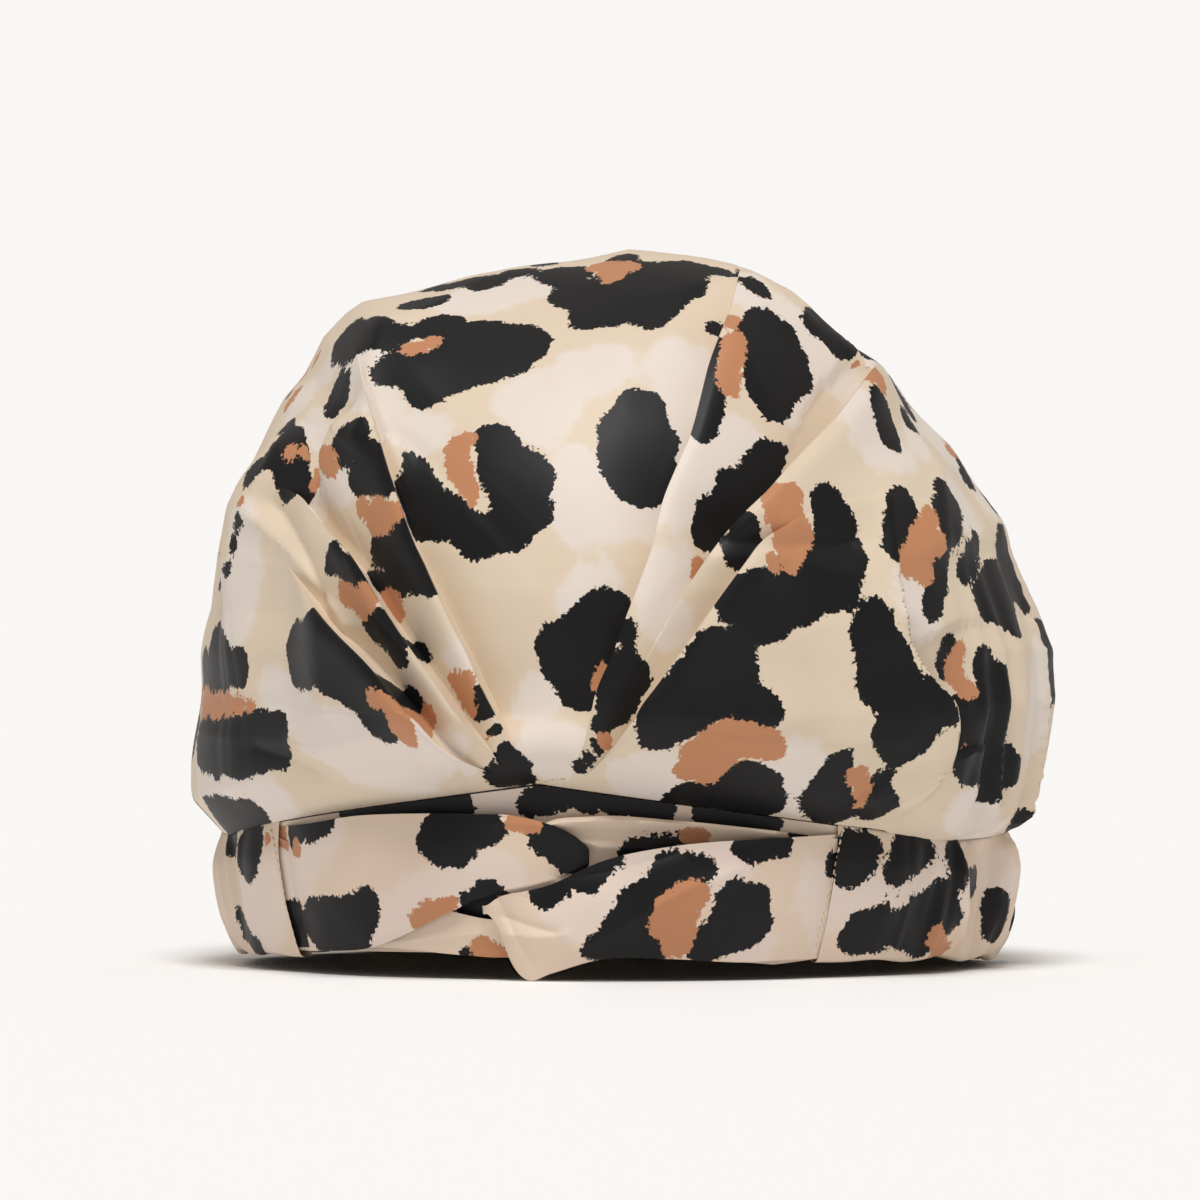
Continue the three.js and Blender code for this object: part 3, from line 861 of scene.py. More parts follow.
@dataclass
class Crown:
    """The outer crown: a bag of printed cloth, pleated into the tack at the front.

    Its columns run from the tack over the crown to the seam, as a fan, and its rows cross them.
    """

    form: CrownForm
    view: PhotoView
    tack_half: float = 5.0
    size: float = 139.0
    rows: int = 210
    row_crowding: float = 1.25
    column_turn: float = 0.5
    least_columns: int = 8
    edge_turn: float = 0.9
    least_turn: float = 3.0
    reach_steps: int = 401
    edge_blur: int = 17
    seeks: int = 30
    nudge_turn: float = 0.5
    layer_step: float = 40.0
    layer_reach: float = 45.0
    grain: float = 1.7
    snap_grains: float = 4.0
    overlap_reach: float = 8.0
    most_overlap: float = 3.0
    roll: float = 3.5
    roll_rise: float = 0.25
    dip_share: float = 0.55
    dip_reach: float = 12.0
    on_edge: float = 0.01
    faded_share: float = 0.08
    sewn_share: float = 0.3
    crease_depth: float = 1.5
    crease_wrap: float = 0.05
    crease_fade: float = 0.3
    gather_height: float = 36.0
    gather_rise: float = 8.5
    gather_base: float = 0.8
    gather_cut: float = 1.7
    gather_round: float = 0.04
    gather_run: float = 0.1
    gather_creases_height: float = 25.0
    gather_hold: float = 4.0
    gather_fade: float = 20.0
    gather_in: float = 1.2
    quiet_left: float = 86.0
    quiet_right: float = 58.0
    quiet_seam: float = 20.0
    ridge_rise: float = 1.1
    gathers: Swells = Swells(11.0, 1.0, Seed.CROWN_GATHERS)
    gather_creases: Swells = Swells(6.0, 0.5, Seed.CROWN_GATHER_CREASES)
    ridges: Swells = Swells(46.0, 1.0, Seed.CROWN_RIDGES)
    wrinkles: Swells = Swells(17.0, 0.35, Seed.CROWN_WRINKLES)

    def __post_init__(self) -> None:
        """Works out the pleats' edges."""
        turn = np.linspace(-math.pi, math.pi, 721)[:, None]
        ring = np.linspace(0.02, 1.0, 140)[None, :]
        self.fit = OutlineFit(self.view, self.form.surface(ring * np.sin(turn), -ring * np.cos(turn)))
        self.pleats = LEFT_PLEATS + RIGHT_PLEATS
        self.reaches = np.linspace(0.0, 2.0, self.reach_steps)
        self.tables = self.edge_tables()

    def start_of(self, spread: float) -> float:
        """Gives the angle round the disc at which a column starts on the tack."""
        return self.tack_half / self.form.band.half_depth * spread

    def edge_tables(self) -> Points:
        """Tabulates the edges.

        Returns:
            For each edge from left to right, its angle from straight back at each reach from its start. The
            first and last rows stand for the seam.
        """
        rows = [np.full(len(self.reaches), -90.0)]
        kernel = np.exp(-(np.linspace(-2.0, 2.0, self.edge_blur) ** 2))
        kernel /= kernel.sum()
        for pleat in self.pleats:
            start = self.start_of(pleat.side.value)
            edge = self.form.sites(self.view, self.fit.before(pleat.edge))
            path = edge - [math.sin(start), -math.cos(start)]
            reach = np.hypot(path[:, 0], path[:, 1])
            order = np.argsort(reach)
            angle = np.degrees(np.arctan2(path[:, 0], path[:, 1]))
            table = np.interp(self.reaches, reach[order], angle[order])
            padded = np.pad(table, len(kernel) // 2, mode="edge")
            rows.append(np.convolve(padded, kernel, mode="valid"))
        rows.append(np.full(len(self.reaches), 90.0))
        for low, high in zip(rows[:-1], rows[1:]):
            high[:] = np.maximum(high, low + self.least_turn)
        return np.array(rows)

    def edge_angle(self, index: int, reach: Points) -> Points:
        """Gives the angle of edge number index at reaches from the tack."""
        return np.interp(reach, self.reaches, self.tables[index])

    def strength(self, pleat: Pleat, reach: Points) -> Points:
        """Gives how fully a pleat stands at reaches from the tack, from 0 to 1."""
        rising = smooth((reach - pleat.appears[0]) / (pleat.appears[1] - pleat.appears[0]))
        return rising * (1.0 - smooth((reach - pleat.fades[0]) / (pleat.fades[1] - pleat.fades[0])))

    def columns(self) -> list[Column]:
        """Lists the fan's columns.

        Returns:
            The columns from left to right.
        """
        middle, last = len(LEFT_PLEATS), len(self.pleats)
        typical = self.tables[:, len(self.reaches) // 3]
        made = []
        for gap in range(last + 1):
            count = max(self.least_columns, round((typical[gap + 1] - typical[gap]) / self.column_turn))
            for i in range(count + 1):
                if (gap, i) in ((0, 0), (last, count)):
                    continue
                share = i / count
                spread = -1.0 if gap < middle else 1.0 if gap > middle else 2.0 * share - 1.0
                made.append(Column(gap, spread, share))
            if gap < last:
                side = self.pleats[gap].side
                steps = FOLD_STEPS if side is Side.LEFT else FOLD_STEPS[::-1]
                made += [Column(gap, side.value, step=step) for step in steps]
        return made

    def angles(self, columns: list[Column], reach: Points) -> Points:
        """Gives the columns' angles.

        Args:
            columns: The fan's columns.
            reach: Reaches from the tack, one row for each column.

        Returns:
            Angles from straight back in the same rows.
        """
        made = np.zeros_like(reach)
        for i, column in enumerate(columns):
            gap = column.number
            if column.step:
                made[i] = self.edge_angle(gap + 1, reach[i])
                continue
            low, high = self.edge_angle(gap, reach[i]), self.edge_angle(gap + 1, reach[i])
            if gap > 0 and self.pleats[gap - 1].side is Side.RIGHT:
                low = low + self.edge_turn
            if gap < len(self.pleats) and self.pleats[gap].side is Side.LEFT:
                high = high - self.edge_turn
            made[i] = mix(low, high, column.share)
        limit = 90.0 - np.degrees(np.arcsin(np.clip(reach / 2.0, 0.0, 1.0)))
        return np.clip(made, -limit, limit)

    def disc(self, angle: Points, reach: Points, start: Points) -> tuple[Points, Points]:
        """Gives disc coordinates at angles and reaches from the columns' starts."""
        turned = np.radians(angle)
        return np.sin(start) + reach * np.sin(turned), -np.cos(start) + reach * np.cos(turned)

    def reach_to_seam(self, columns: list[Column], start: Points) -> Points:
        """Finds where the columns meet the seam, by halving.

        Args:
            columns: The fan's columns.
            start: The angles at which they start on the tack, one row each.

        Returns:
            Their reaches to the seam, one row each.
        """
        low, high = np.abs(start), np.full_like(start, 2.0)
        for _ in range(self.seeks):
            middle = (low + high) / 2.0
            inside = np.hypot(*self.disc(self.angles(columns, middle), middle, start)) < 1.0
            low, high = np.where(inside, middle, low), np.where(inside, high, middle)
        return low

    def surface(self) -> ClothSurface:
        """Works out the crown's cloth.

        Returns:
            The cloth, with its pleats, folds, creases and gathers.
        """
        columns = self.columns()
        start = np.array([self.start_of(column.spread) for column in columns])[:, None]
        share = (np.arange(self.rows + 1) / self.rows)[None, :]
        reach = self.reach_to_seam(columns, start) * share**self.row_crowding
        angle = self.angles(columns, reach)
        p, q = self.disc(angle, reach, start)
        p[:, 0], q[:, 0] = np.sin(start[:, 0]), -np.cos(start[:, 0])
        p, q, fold_lift, fold_layers = self.laid_over(p, q)
        lift, tuck, pleat_layers = self.pleated(columns, angle, reach)
        inward = 1.0 - np.hypot(p, q)
        hold = smooth(inward / self.form.tuck_share)
        sewn = smooth(inward / (self.form.tuck_share * self.sewn_share))
        normal = self.form.normal(p, q)
        beside = self.form.surface(*self.disc(angle + self.nudge_turn, reach, start))
        before = self.form.surface(*self.disc(angle - self.nudge_turn, reach, start))
        points = self.form.surface(p, q) + normal * (lift * hold + fold_lift * sewn)[..., None]
        points += unit(beside - before) * tuck[..., None]
        points += normal * (self.creased(points, normal) * hold + self.wrinkled(points, p, q))[..., None]
        self.fit = OutlineFit(self.view, points)
        points += self.fit.moves(points)
        return ClothSurface("printed_crown", points, np.concatenate([pleat_layers, fold_layers], axis=-1))

    def pleated(
        self, columns: list[Column], angle: Points, reach: Points
    ) -> tuple[Points, Points, Points]:
        """Works out what the pleats add.

        Args:
            columns: The fan's columns.
            angle: Angles from the tack, by column and row.
            reach: Reaches from the tack, by column and row.

        Returns:
            How far the cloth stands out, how far it is drawn sideways, and the layers' coordinates.
        """
        lift, tuck = np.zeros_like(reach), np.zeros_like(reach)
        layers = np.zeros(reach.shape + (len(self.pleats),))
        room = np.radians(self.edge_turn) * reach * self.size
        for k, pleat in enumerate(self.pleats):
            side = pleat.side.value
            strength = self.strength(pleat, reach)
            across = np.radians((angle - self.edge_angle(k + 1, reach)) * side) * reach * self.size
            rise = pleat.rise * strength
            dip = -self.dip_share * rise * np.exp(across / self.dip_reach)
            upper = across > self.on_edge
            add = np.where(upper, rise * self.pleat_profile(across, pleat.puff), dip)
            layer = np.where(upper, 1.0, -1.0)
            overlap = np.minimum(pleat.overlap, room * self.most_overlap) * strength
            apart = room * self.faded_share * (1.0 - strength)
            own = [i for i, column in enumerate(columns) if column.step and column.number == k]
            beyond = own[-1] + 1 if pleat.side is Side.LEFT else own[0] - 1
            tuck[beyond] = BEYOND_FOLD * apart[beyond] * side
            for i in own:
                step = columns[i].step
                add[i] = rise[i] * (step.rise - self.dip_share * (1.0 - step.rise) ** 2)
                tuck[i] = (step.back * room[i] + step.under * overlap[i] + step.apart * apart[i]) * side
                layer[i] = step.layer
            lift += add
            layers[..., k] = layer * strength * bell(across, self.layer_reach) * self.layer_step / 2.0
        return lift, tuck, layers

    def pleat_profile(self, across: Points, puff: float) -> Points:
        """Gives a pleat's height at distances back from its edge, as a share of its rise."""
        turns = across / self.roll
        return np.exp(-across / puff) * (1.0 + self.roll_rise * turns * np.exp(1.0 - turns))

    def laid_over(self, p: Points, q: Points) -> tuple[Points, Points, Points, Points]:
        """Lays the folds that don't start at the tack over the cloth beside them.

        Args:
            p: First disc coordinate, by column and row.
            q: Second disc coordinate.

        Returns:
            The disc coordinates with the folds' edges drawn out, the lift and the layers' coordinates.
        """
        places = as_points(p.ravel(), q.ravel())
        lift = np.zeros(len(places))
        layers = np.zeros((len(places), len(CROWN_FOLDS)))
        for k, fold in enumerate(CROWN_FOLDS):
            fit = fit_to_line(places, self.form.sites(self.view, self.fit.before(rounded(fold.edge))))
            side = fit.side * fold.side.value
            first, last = fold.fades
            ends = smooth(fit.along / first) * smooth((fit.length - fit.along) / last)
            distance = fit.distance * self.size
            drawn = np.clip((distance - self.grain) / ((self.snap_grains - 1.0) * self.grain), 0.0, 1.0)
            snap = self.snap_grains * self.grain
            snapped = np.where(distance < snap, drawn * snap, distance)
            over = np.where(side > 0.0, fold.overlap * np.exp(-snapped / self.overlap_reach), 0.0)
            moved = mix(distance, snapped - over, ends)
            kept = np.maximum(moved, 0.0) / np.maximum(distance, 1e-6) - 1.0
            beyond = fit.normal * (fold.side.value * np.minimum(moved, 0.0) / self.size)[:, None]
            places = places + fit.offset * kept[:, None] + beyond
            dip = -fold.dip * np.exp(-snapped / self.dip_reach)
            lift += ends * np.where(side > 0.0, fold.rise * self.pleat_profile(snapped, fold.puff), dip)
            layers[:, k] = side * ends * bell(distance, self.layer_reach) * self.layer_step / 2.0
        drawn_p, drawn_q = (part.reshape(p.shape) for part in places.T)
        return drawn_p, drawn_q, lift.reshape(p.shape), layers.reshape(p.shape + (-1,))

    def creased(self, points: Points, normal: Points) -> Points:
        """Works out the soft ridges and valleys on the side that the photograph shows.

        Args:
            points: The crown's points, by column and row.
            normal: The directions out of it.

        Returns:
            How far each point stands out.
        """
        facing = smooth((normal @ self.view.back() + self.crease_wrap) / self.crease_fade)
        pixels = self.view.pixels(points).reshape(-1, 2)
        total = sum(crease.height(pixels, self.fit.before(crease.line)) for crease in CROWN_CREASES)
        return self.crease_depth * total.reshape(facing.shape) * facing

    def wrinkled(self, points: Points, p: Points, q: Points) -> Points:
        """Works out the gathers at the seam, the broad ridges and the small wrinkles.

        Args:
            points: The crown's points, by column and row.
            p: First disc coordinate.
            q: Second disc coordinate.

        Returns:
            How far each point stands out.
        """
        turn = np.degrees(np.arctan2(p, -q))
        inward = (1.0 - np.hypot(p, q)) * self.size
        route = as_points(np.radians(turn) * self.form.band.half_width, inward * self.gather_run, 0.0)
        creases = self.gather_creases.at(route) * np.exp(-inward / self.gather_creases_height)
        valleys = np.sqrt(self.gathers.at(route) ** 2 + self.gather_round)
        gathers = self.gather_base - self.gather_cut * valleys + creases
        held = np.exp(-inward / self.gather_height) * smooth(inward / self.gather_hold)
        sides = off_front(turn, self.quiet_left, self.quiet_right, self.gather_fade)
        pulled = np.maximum(self.gather_rise * gathers * sides * held, -self.gather_in)
        ridges = self.ridge_rise * (1.0 - 2.0 * np.abs(self.ridges.at(points)))
        return pulled + (ridges + self.wrinkles.at(points)) * smooth(inward / self.quiet_seam)


def centripetal(stations: Points, count: int) -> Points:
    """Runs a smooth curve through stations: a centripetal Catmull-Rom spline.

    Args:
        stations: The stations, one row each; the first two numbers are the place, which sets the pace.
        count: How many points the curve gets.

    Returns:
        The points, evenly spaced in the stations' order.
    """
    padded = np.vstack([2.0 * stations[0] - stations[1], stations, 2.0 * stations[-1] - stations[-2]])
    gaps = np.sqrt(np.maximum(np.linalg.norm(np.diff(padded[:, :2], axis=0), axis=1), 1e-6))
    knots = np.concatenate([[0.0], np.cumsum(gaps)])
    made = []
    for time in np.linspace(knots[1], knots[-2], count):
        i = int(np.clip(np.searchsorted(knots, time, side="right") - 1, 1, len(stations) - 1))
        pace = knots[i - 1 : i + 3]
        spots = padded[i - 1 : i + 3]
        for first, wide in ((0, 1), (0, 2), (1, 1)):
            last = first + len(spots) - 1
            starts, ends = pace[first:last], pace[first + wide : last + wide]
            share = ((time - starts) / (ends - starts))[:, None]
            spots = spots[:-1] * (1.0 - share) + spots[1:] * share
        made.append(spots[0])
    return np.array(made)


@dataclass(frozen=True)
class Station:
    """One station of a loop.

    Attributes:
        turn: Its turn from the front middle, as a share of the turn to the stitch line.
        out: How far out it lies, as a share of the knot's depth.
        low: The height of the ribbon's lower edge, as a share of the way from the rim to the knot's top.
        high: The height of its upper edge.
        swell: How much it puffs out between its edges, as a share of the legs' puff.
    """

    turn: float
    out: float
    low: float
    high: float
    swell: float


LEFT_LOOP = (
    Station(-1.0, 0.28, 0.0, 0.86, 0.0), Station(-0.8, 0.34, 0.01, 0.9, 0.6),
    Station(-0.58, 0.42, 0.06, 0.97, 1.0), Station(-0.28, 0.52, 0.32, 1.0, 0.8),
    Station(-0.19, 0.54, 0.41, 1.0, 0.4), Station(-0.06, 0.55, 0.44, 0.99, 0.25),
    Station(0.08, 0.55, 0.46, 0.9, 0.15), Station(0.135, 0.55, 0.44, 0.82, 0.0),
    Station(0.16, 0.45, 0.3, 0.74, 0.0), Station(0.135, 0.35, 0.16, 0.56, 0.0),
    Station(0.04, 0.35, 0.04, 0.3, 0.0), Station(-0.12, 0.35, 0.0, 0.26, 0.0),
    Station(-0.26, 0.34, 0.01, 0.3, 0.0), Station(-0.58, 0.25, 0.05, 0.5, 0.0),
    Station(-1.0, 0.11, 0.02, 0.8, 0.0),
)
RIGHT_LOOP = (
    Station(1.0, 0.28, -0.02, 0.85, 0.0), Station(0.82, 0.5, -0.02, 0.84, 0.7),
    Station(0.66, 0.7, -0.03, 0.83, 1.0), Station(0.42, 0.95, 0.0, 0.79, 1.2),
    Station(0.21, 1.0, 0.0, 0.69, 1.1), Station(0.05, 1.0, -0.1, 0.52, 0.8),
    Station(-0.03, 1.0, -0.15, 0.47, 0.7), Station(-0.08, 0.97, -0.04, 0.45, 0.5),
    Station(-0.12, 0.92, 0.2, 0.42, 0.2), Station(-0.155, 0.8, 0.3, 0.37, 0.0),
    Station(-0.18, 0.52, 0.3, 0.36, 0.0), Station(-0.155, 0.24, 0.3, 0.37, 0.0),
    Station(-0.1, 0.15, 0.3, 0.55, 0.0), Station(0.0, 0.14, 0.3, 0.9, 0.0),
    Station(0.17, 0.14, 0.26, 0.99, 0.0), Station(0.42, 0.14, 0.2, 0.96, 0.0),
    Station(0.66, 0.13, 0.1, 0.9, 0.0), Station(1.0, 0.11, 0.02, 0.8, 0.0),
)
LOOP_CREASES = (
    Crease(((483, 895), (530, 886), (555, 879), (607, 855), (647, 844), (674, 841), (749, 834)), 1.2, 2.5),
    Crease(((557, 878), (604, 871), (659, 858), (681, 850)), -1.4, 2.5),
    Crease(((740, 868), (720, 876), (690, 887), (655, 907), (620, 927), (579, 950)), 2.0, 4.0),
    Crease(((502, 916), (528, 926), (555, 933)), -1.6, 3.0),
    Crease(((509, 935), (540, 938), (565, 935)), 1.4, 3.0),
    Crease(((498, 900), (512, 930), (530, 962)), -1.4, 3.5),
    Crease(((500, 822), (545, 826), (580, 846)), 1.2, 4.0),
    Crease(((282, 828), (290, 885), (302, 948)), -1.0, 2.5),
    Crease(((841, 829), (829, 886), (814, 952)), -1.0, 2.5),
    Crease(((372, 943), (411, 928), (459, 907)), 1.0, 3.0),
)
RETURN_CREASES = (
    Crease(((548, 825), (600, 819), (690, 823), (770, 832)), 4.2, 2.4),
    Crease(((590, 833), (640, 835), (700, 836)), -1.2, 2.4),
    Crease(((560, 836), (600, 846), (650, 848)), 1.6, 2.0),
    Crease(((375, 944), (420, 940), (480, 934)), 0.9, 3.0),
)


@dataclass
class BandLoop:
    """One of the two loops of the twist: a ribbon that goes out from its stitch line, bends and returns."""

    name: str
    stations: tuple[Station, ...]
    band: BandForm
    view: PhotoView
    knot_top: float = 52.8
    leg_puff: float = 3.0
    leg_depth: float = 9.0
    clear: float = 0.2
    length_steps: int = 420
    height_steps: int = 44
    layer_step: float = 60.0
    bend_fade: float = 0.06
    past_bend: float = 0.01
    facing_fade: float = 0.3
    under_casing: float = 1.1
    seam_blend: float = 5.0
    seam_share: float = 0.3
    casing_heights: tuple[float, ...] = (0.0, 0.34, 0.74, 1.0)
    casing_outs: tuple[float, ...] = (1.3, 3.2, 2.7, 0.3)
    sunk: float = 0.35
    swells: Swells = Swells(14.0, 0.5, Seed.LOOP_SWELLS)

    def route(self) -> Points:
        """Works out the way that the ribbon takes.

        Returns:
            Rows of the way round the band, the distance out, the lower and upper heights and the swell.
        """
        turn_clear = math.degrees(self.clear / self.band.half_depth)
        rows = [
            [
                math.radians(station.turn * (self.band.seam_turn - turn_clear)) * self.band.radius(),
                station.out * self.leg_depth,
                mix(self.band.front_rim, self.knot_top, station.low),
                mix(self.band.front_rim, self.knot_top, station.high),
                station.swell * self.leg_puff,
            ]
            for station in self.stations
        ]
        return centripetal(np.array(rows), self.length_steps)

    def surface(self) -> ClothSurface:
        """Works out the loop's cloth.

        Returns:
            The cloth, whose second leg is a layer of its own.
        """
        way, out, low_edge, high_edge, swell = self.route().T[..., None]
        rise = np.linspace(0.0, 1.0, self.height_steps + 1)[None, :]
        height = np.maximum(0.0, mix(low_edge, high_edge, rise))
        out = out + swell * np.sin(rise * math.pi)
        turn = np.degrees(way / self.band.radius())
        along = np.linspace(0.0, 1.0, self.length_steps)[:, None]
        from_seam = self.band.seam_turn - np.abs(turn)
        low, high = self.band.rim_height(turn), self.band.seam_height(turn)
        casing = np.interp((height - low) / (high - low), self.casing_heights, self.casing_outs) - self.sunk
        out = mix(out, casing, bell(from_seam, self.seam_blend) * (along < self.seam_share))
        turn = turn + np.sign(turn) * self.under_casing * np.exp(-from_seam / self.under_casing)
        points = self.band.points(turn, height, out)
        outward = level_out(points)
        pixels = self.view.pixels(points).reshape(-1, 2)
        bend = int(np.argmin(way * np.sign(way[0]))) / self.length_steps
        front = 1.0 - smooth((along - bend) / self.bend_fade)
        legs = [self.creased(pixels, lines).reshape(height.shape) for lines in (RETURN_CREASES, LOOP_CREASES)]
        lift = mix(*legs, front) * smooth((outward @ self.view.back()) / self.facing_fade)
        lift += self.swells.at(points) * front
        second = self.layer_step * smooth((along - bend - self.past_bend) / self.bend_fade)
        layers = np.broadcast_to(second, height.shape)
        return ClothSurface(self.name, points + outward * lift[..., None], layers)

    @staticmethod
    def creased(pixels: Points, creases: tuple[Crease, ...]) -> Points:
        """Gives how far creases stand out at pixels."""
        return sum(crease.height(pixels, np.array(crease.line, float)) for crease in creases)


@dataclass
class Facing:
    """The strip of printed cloth behind the twist, which carries the crown's front edge."""

    band: BandForm
    depth: float = -0.6
    rise: float = 1.2
    droop: float = 3.0
    droops: tuple[float, ...] = (0.0, 0.0, 0.0, 0.0, 0.0, 0.0, 0.0, 0.0, 0.6, 1.0, 0.2)
    gap: float = 0.2
    columns: int = 220
    rows: int = 44
    swells: Swells = Swells(12.0, 0.35, Seed.FACING_SWELLS)

    def surface(self) -> ClothSurface:
        """Works out the facing's cloth.

        Returns:
            The cloth, whose lower edge droops on the right.
        """
        turn = np.linspace(-self.band.seam_turn, self.band.seam_turn, self.columns)[:, None]
        share = (turn / self.band.seam_turn + 1.0) / 2.0
        hang = np.interp(share, np.linspace(0.0, 1.0, len(self.droops)), self.droops) * self.droop
        low = self.band.rim_height(turn) + self.rise - hang
        high = self.band.seam_height(turn) - self.gap
        height = mix(low, high, np.linspace(0.0, 1.0, self.rows + 1)[None, :])
        points = self.band.points(turn, height, self.depth)
        return ClothSurface("printed_facing", points + level_out(points) * self.swells.at(points)[..., None])


@dataclass
class Casing:
    """The gathered casing round the sides and the back of the band, a flattened tube of cloth."""

    band: BandForm
    puff: float = 3.2
    inner: float = 5.0
    mouth: float = 2.4
    foot: float = 4.5
    foot_out: float = 0.3
    high_share: float = 0.74
    low_share: float = 0.34
    draw_share: float = 0.85
    corner_tension: float = 0.3
    gather: float = 1.5
    gathers: int = 20
    scallop: float = 1.6
    columns: int = 640
    rows: int = 64
    left_lap: float = 0.7
    right_lap: float = 2.3
    pucker: float = 4.6
    pucker_base: float = 0.15
    pucker_ridge: float = 0.7
    ridge_fall: float = 2.2
    gather_run: float = 0.14
    front_share: float = 0.25
    edge_share: float = 0.35
    foot_fade: float = 8.0
    seam_fade: float = 4.0
    side_fade: float = 22.0
    in_limit: float = 1.3
    quiet_left: float = 84.0
    quiet_right: float = 56.0
    ridges: Swells = Swells(7.5, 1.0, Seed.CASING_GATHERS)
    wrinkles: Swells = Swells(3.8, 0.35, Seed.CASING_WRINKLES)

    def surface(self) -> ClothSurface:
        """Works out the casing's cloth.

        Returns:
            The cloth, as a tube that is open at both ends.
        """
        full, turn = self.band.back_turns(self.right_lap, self.left_lap, self.columns)
        low, high = self.band.rim_height(turn), self.band.seam_height(turn)
        wave = np.cos(np.radians(turn * self.gathers))
        from_end = smooth((np.abs(turn) - self.band.seam_turn) / (360.0 / self.gathers))
        ripple = self.gather * wave * from_end
        lift = self.scallop * (1.0 + wave) / 2.0 * from_end * np.clip(low / self.scallop, 0.0, 1.0)
        upper, lower = mix(low, high, self.high_share), mix(low, high, self.low_share)
        section = (
            (0.0, high),
            (self.puff * self.draw_share + ripple, upper),
            (self.puff + ripple, lower),
            (self.foot * self.foot_out, low + lift),
            (self.foot * (self.foot_out - 1.0), low + lift),
            (ripple - self.inner, lower),
            (ripple - self.inner * self.draw_share, upper),
            (-self.mouth, high),
        )
        out, height = self.rounded_section(section)
        points = self.band.points(turn, height, out)
        moved = self.puckered(full, turn, height, out) * from_end
        moved = np.where(out > 0.0, np.maximum(moved, -self.in_limit), np.minimum(moved, self.in_limit))
        points = points + level_out(points) * moved[..., None]
        points[..., 2] = np.maximum(points[..., 2], 0.0)
        return ClothSurface("printed_casing", points, ring=True)

    def puckered(self, full: Points, turn: Points, height: Points, out: Points) -> Points:
        """Works out how far the elastic puckers the casing.

        Args:
            full: Turns from 0 to 360 degrees, one for each column.
            turn: The same turns from -180 to 180.
            height: Heights, by column and row.
            out: Distances out from the band's outside, by column and row.

        Returns:
            How far the cloth stands out, by column and row.
        """
        low, high = self.band.rim_height(turn), self.band.seam_height(turn)
        route = as_points(np.radians(full) * self.band.radius(), height * self.gather_run, 0.0 * out)
        ridge = 1.0 - self.ridge_fall * np.abs(self.ridges.at(route))
        pucker = self.pucker_base + self.pucker_ridge * ridge + self.wrinkles.at(route)
        middle = smooth((height - low) / self.foot_fade) * smooth((high - height) / self.seam_fade)
        loose = off_front(turn, self.quiet_left, self.quiet_right, self.side_fade)
        return pucker * self.pucker * mix(self.front_share, 1.0, loose) * mix(self.edge_share, 1.0, middle)

    def rounded_section(self, section: tuple[tuple[Points | float, Points], ...]) -> tuple[Points, Points]:
        """Rounds the corners of the casing's section.

        Args:
            section: Distances out and heights of its corners, each by column.

        Returns:
            The distances out and the heights, by column and row.
        """
        corners = np.concatenate([as_points(*pair) for pair in section], axis=1)
        count = len(section)
        where = np.linspace(0.0, count, self.rows, endpoint=False)
        index = np.floor(where).astype(int)
        part = (where - index)[None, :, None]
        before, start, end, after = (corners[:, (index + step) % count] for step in (-1, 0, 1, 2))
        pull_in, pull_out = (end - before) * self.corner_tension, (after - start) * self.corner_tension
        curve = (
            (2 * part**3 - 3 * part**2 + 1) * start
            + (part**3 - 2 * part**2 + part) * pull_in
            + (3 * part**2 - 2 * part**3) * end
            + (part**3 - part**2) * pull_out
        )
        return curve[..., 0], curve[..., 1]


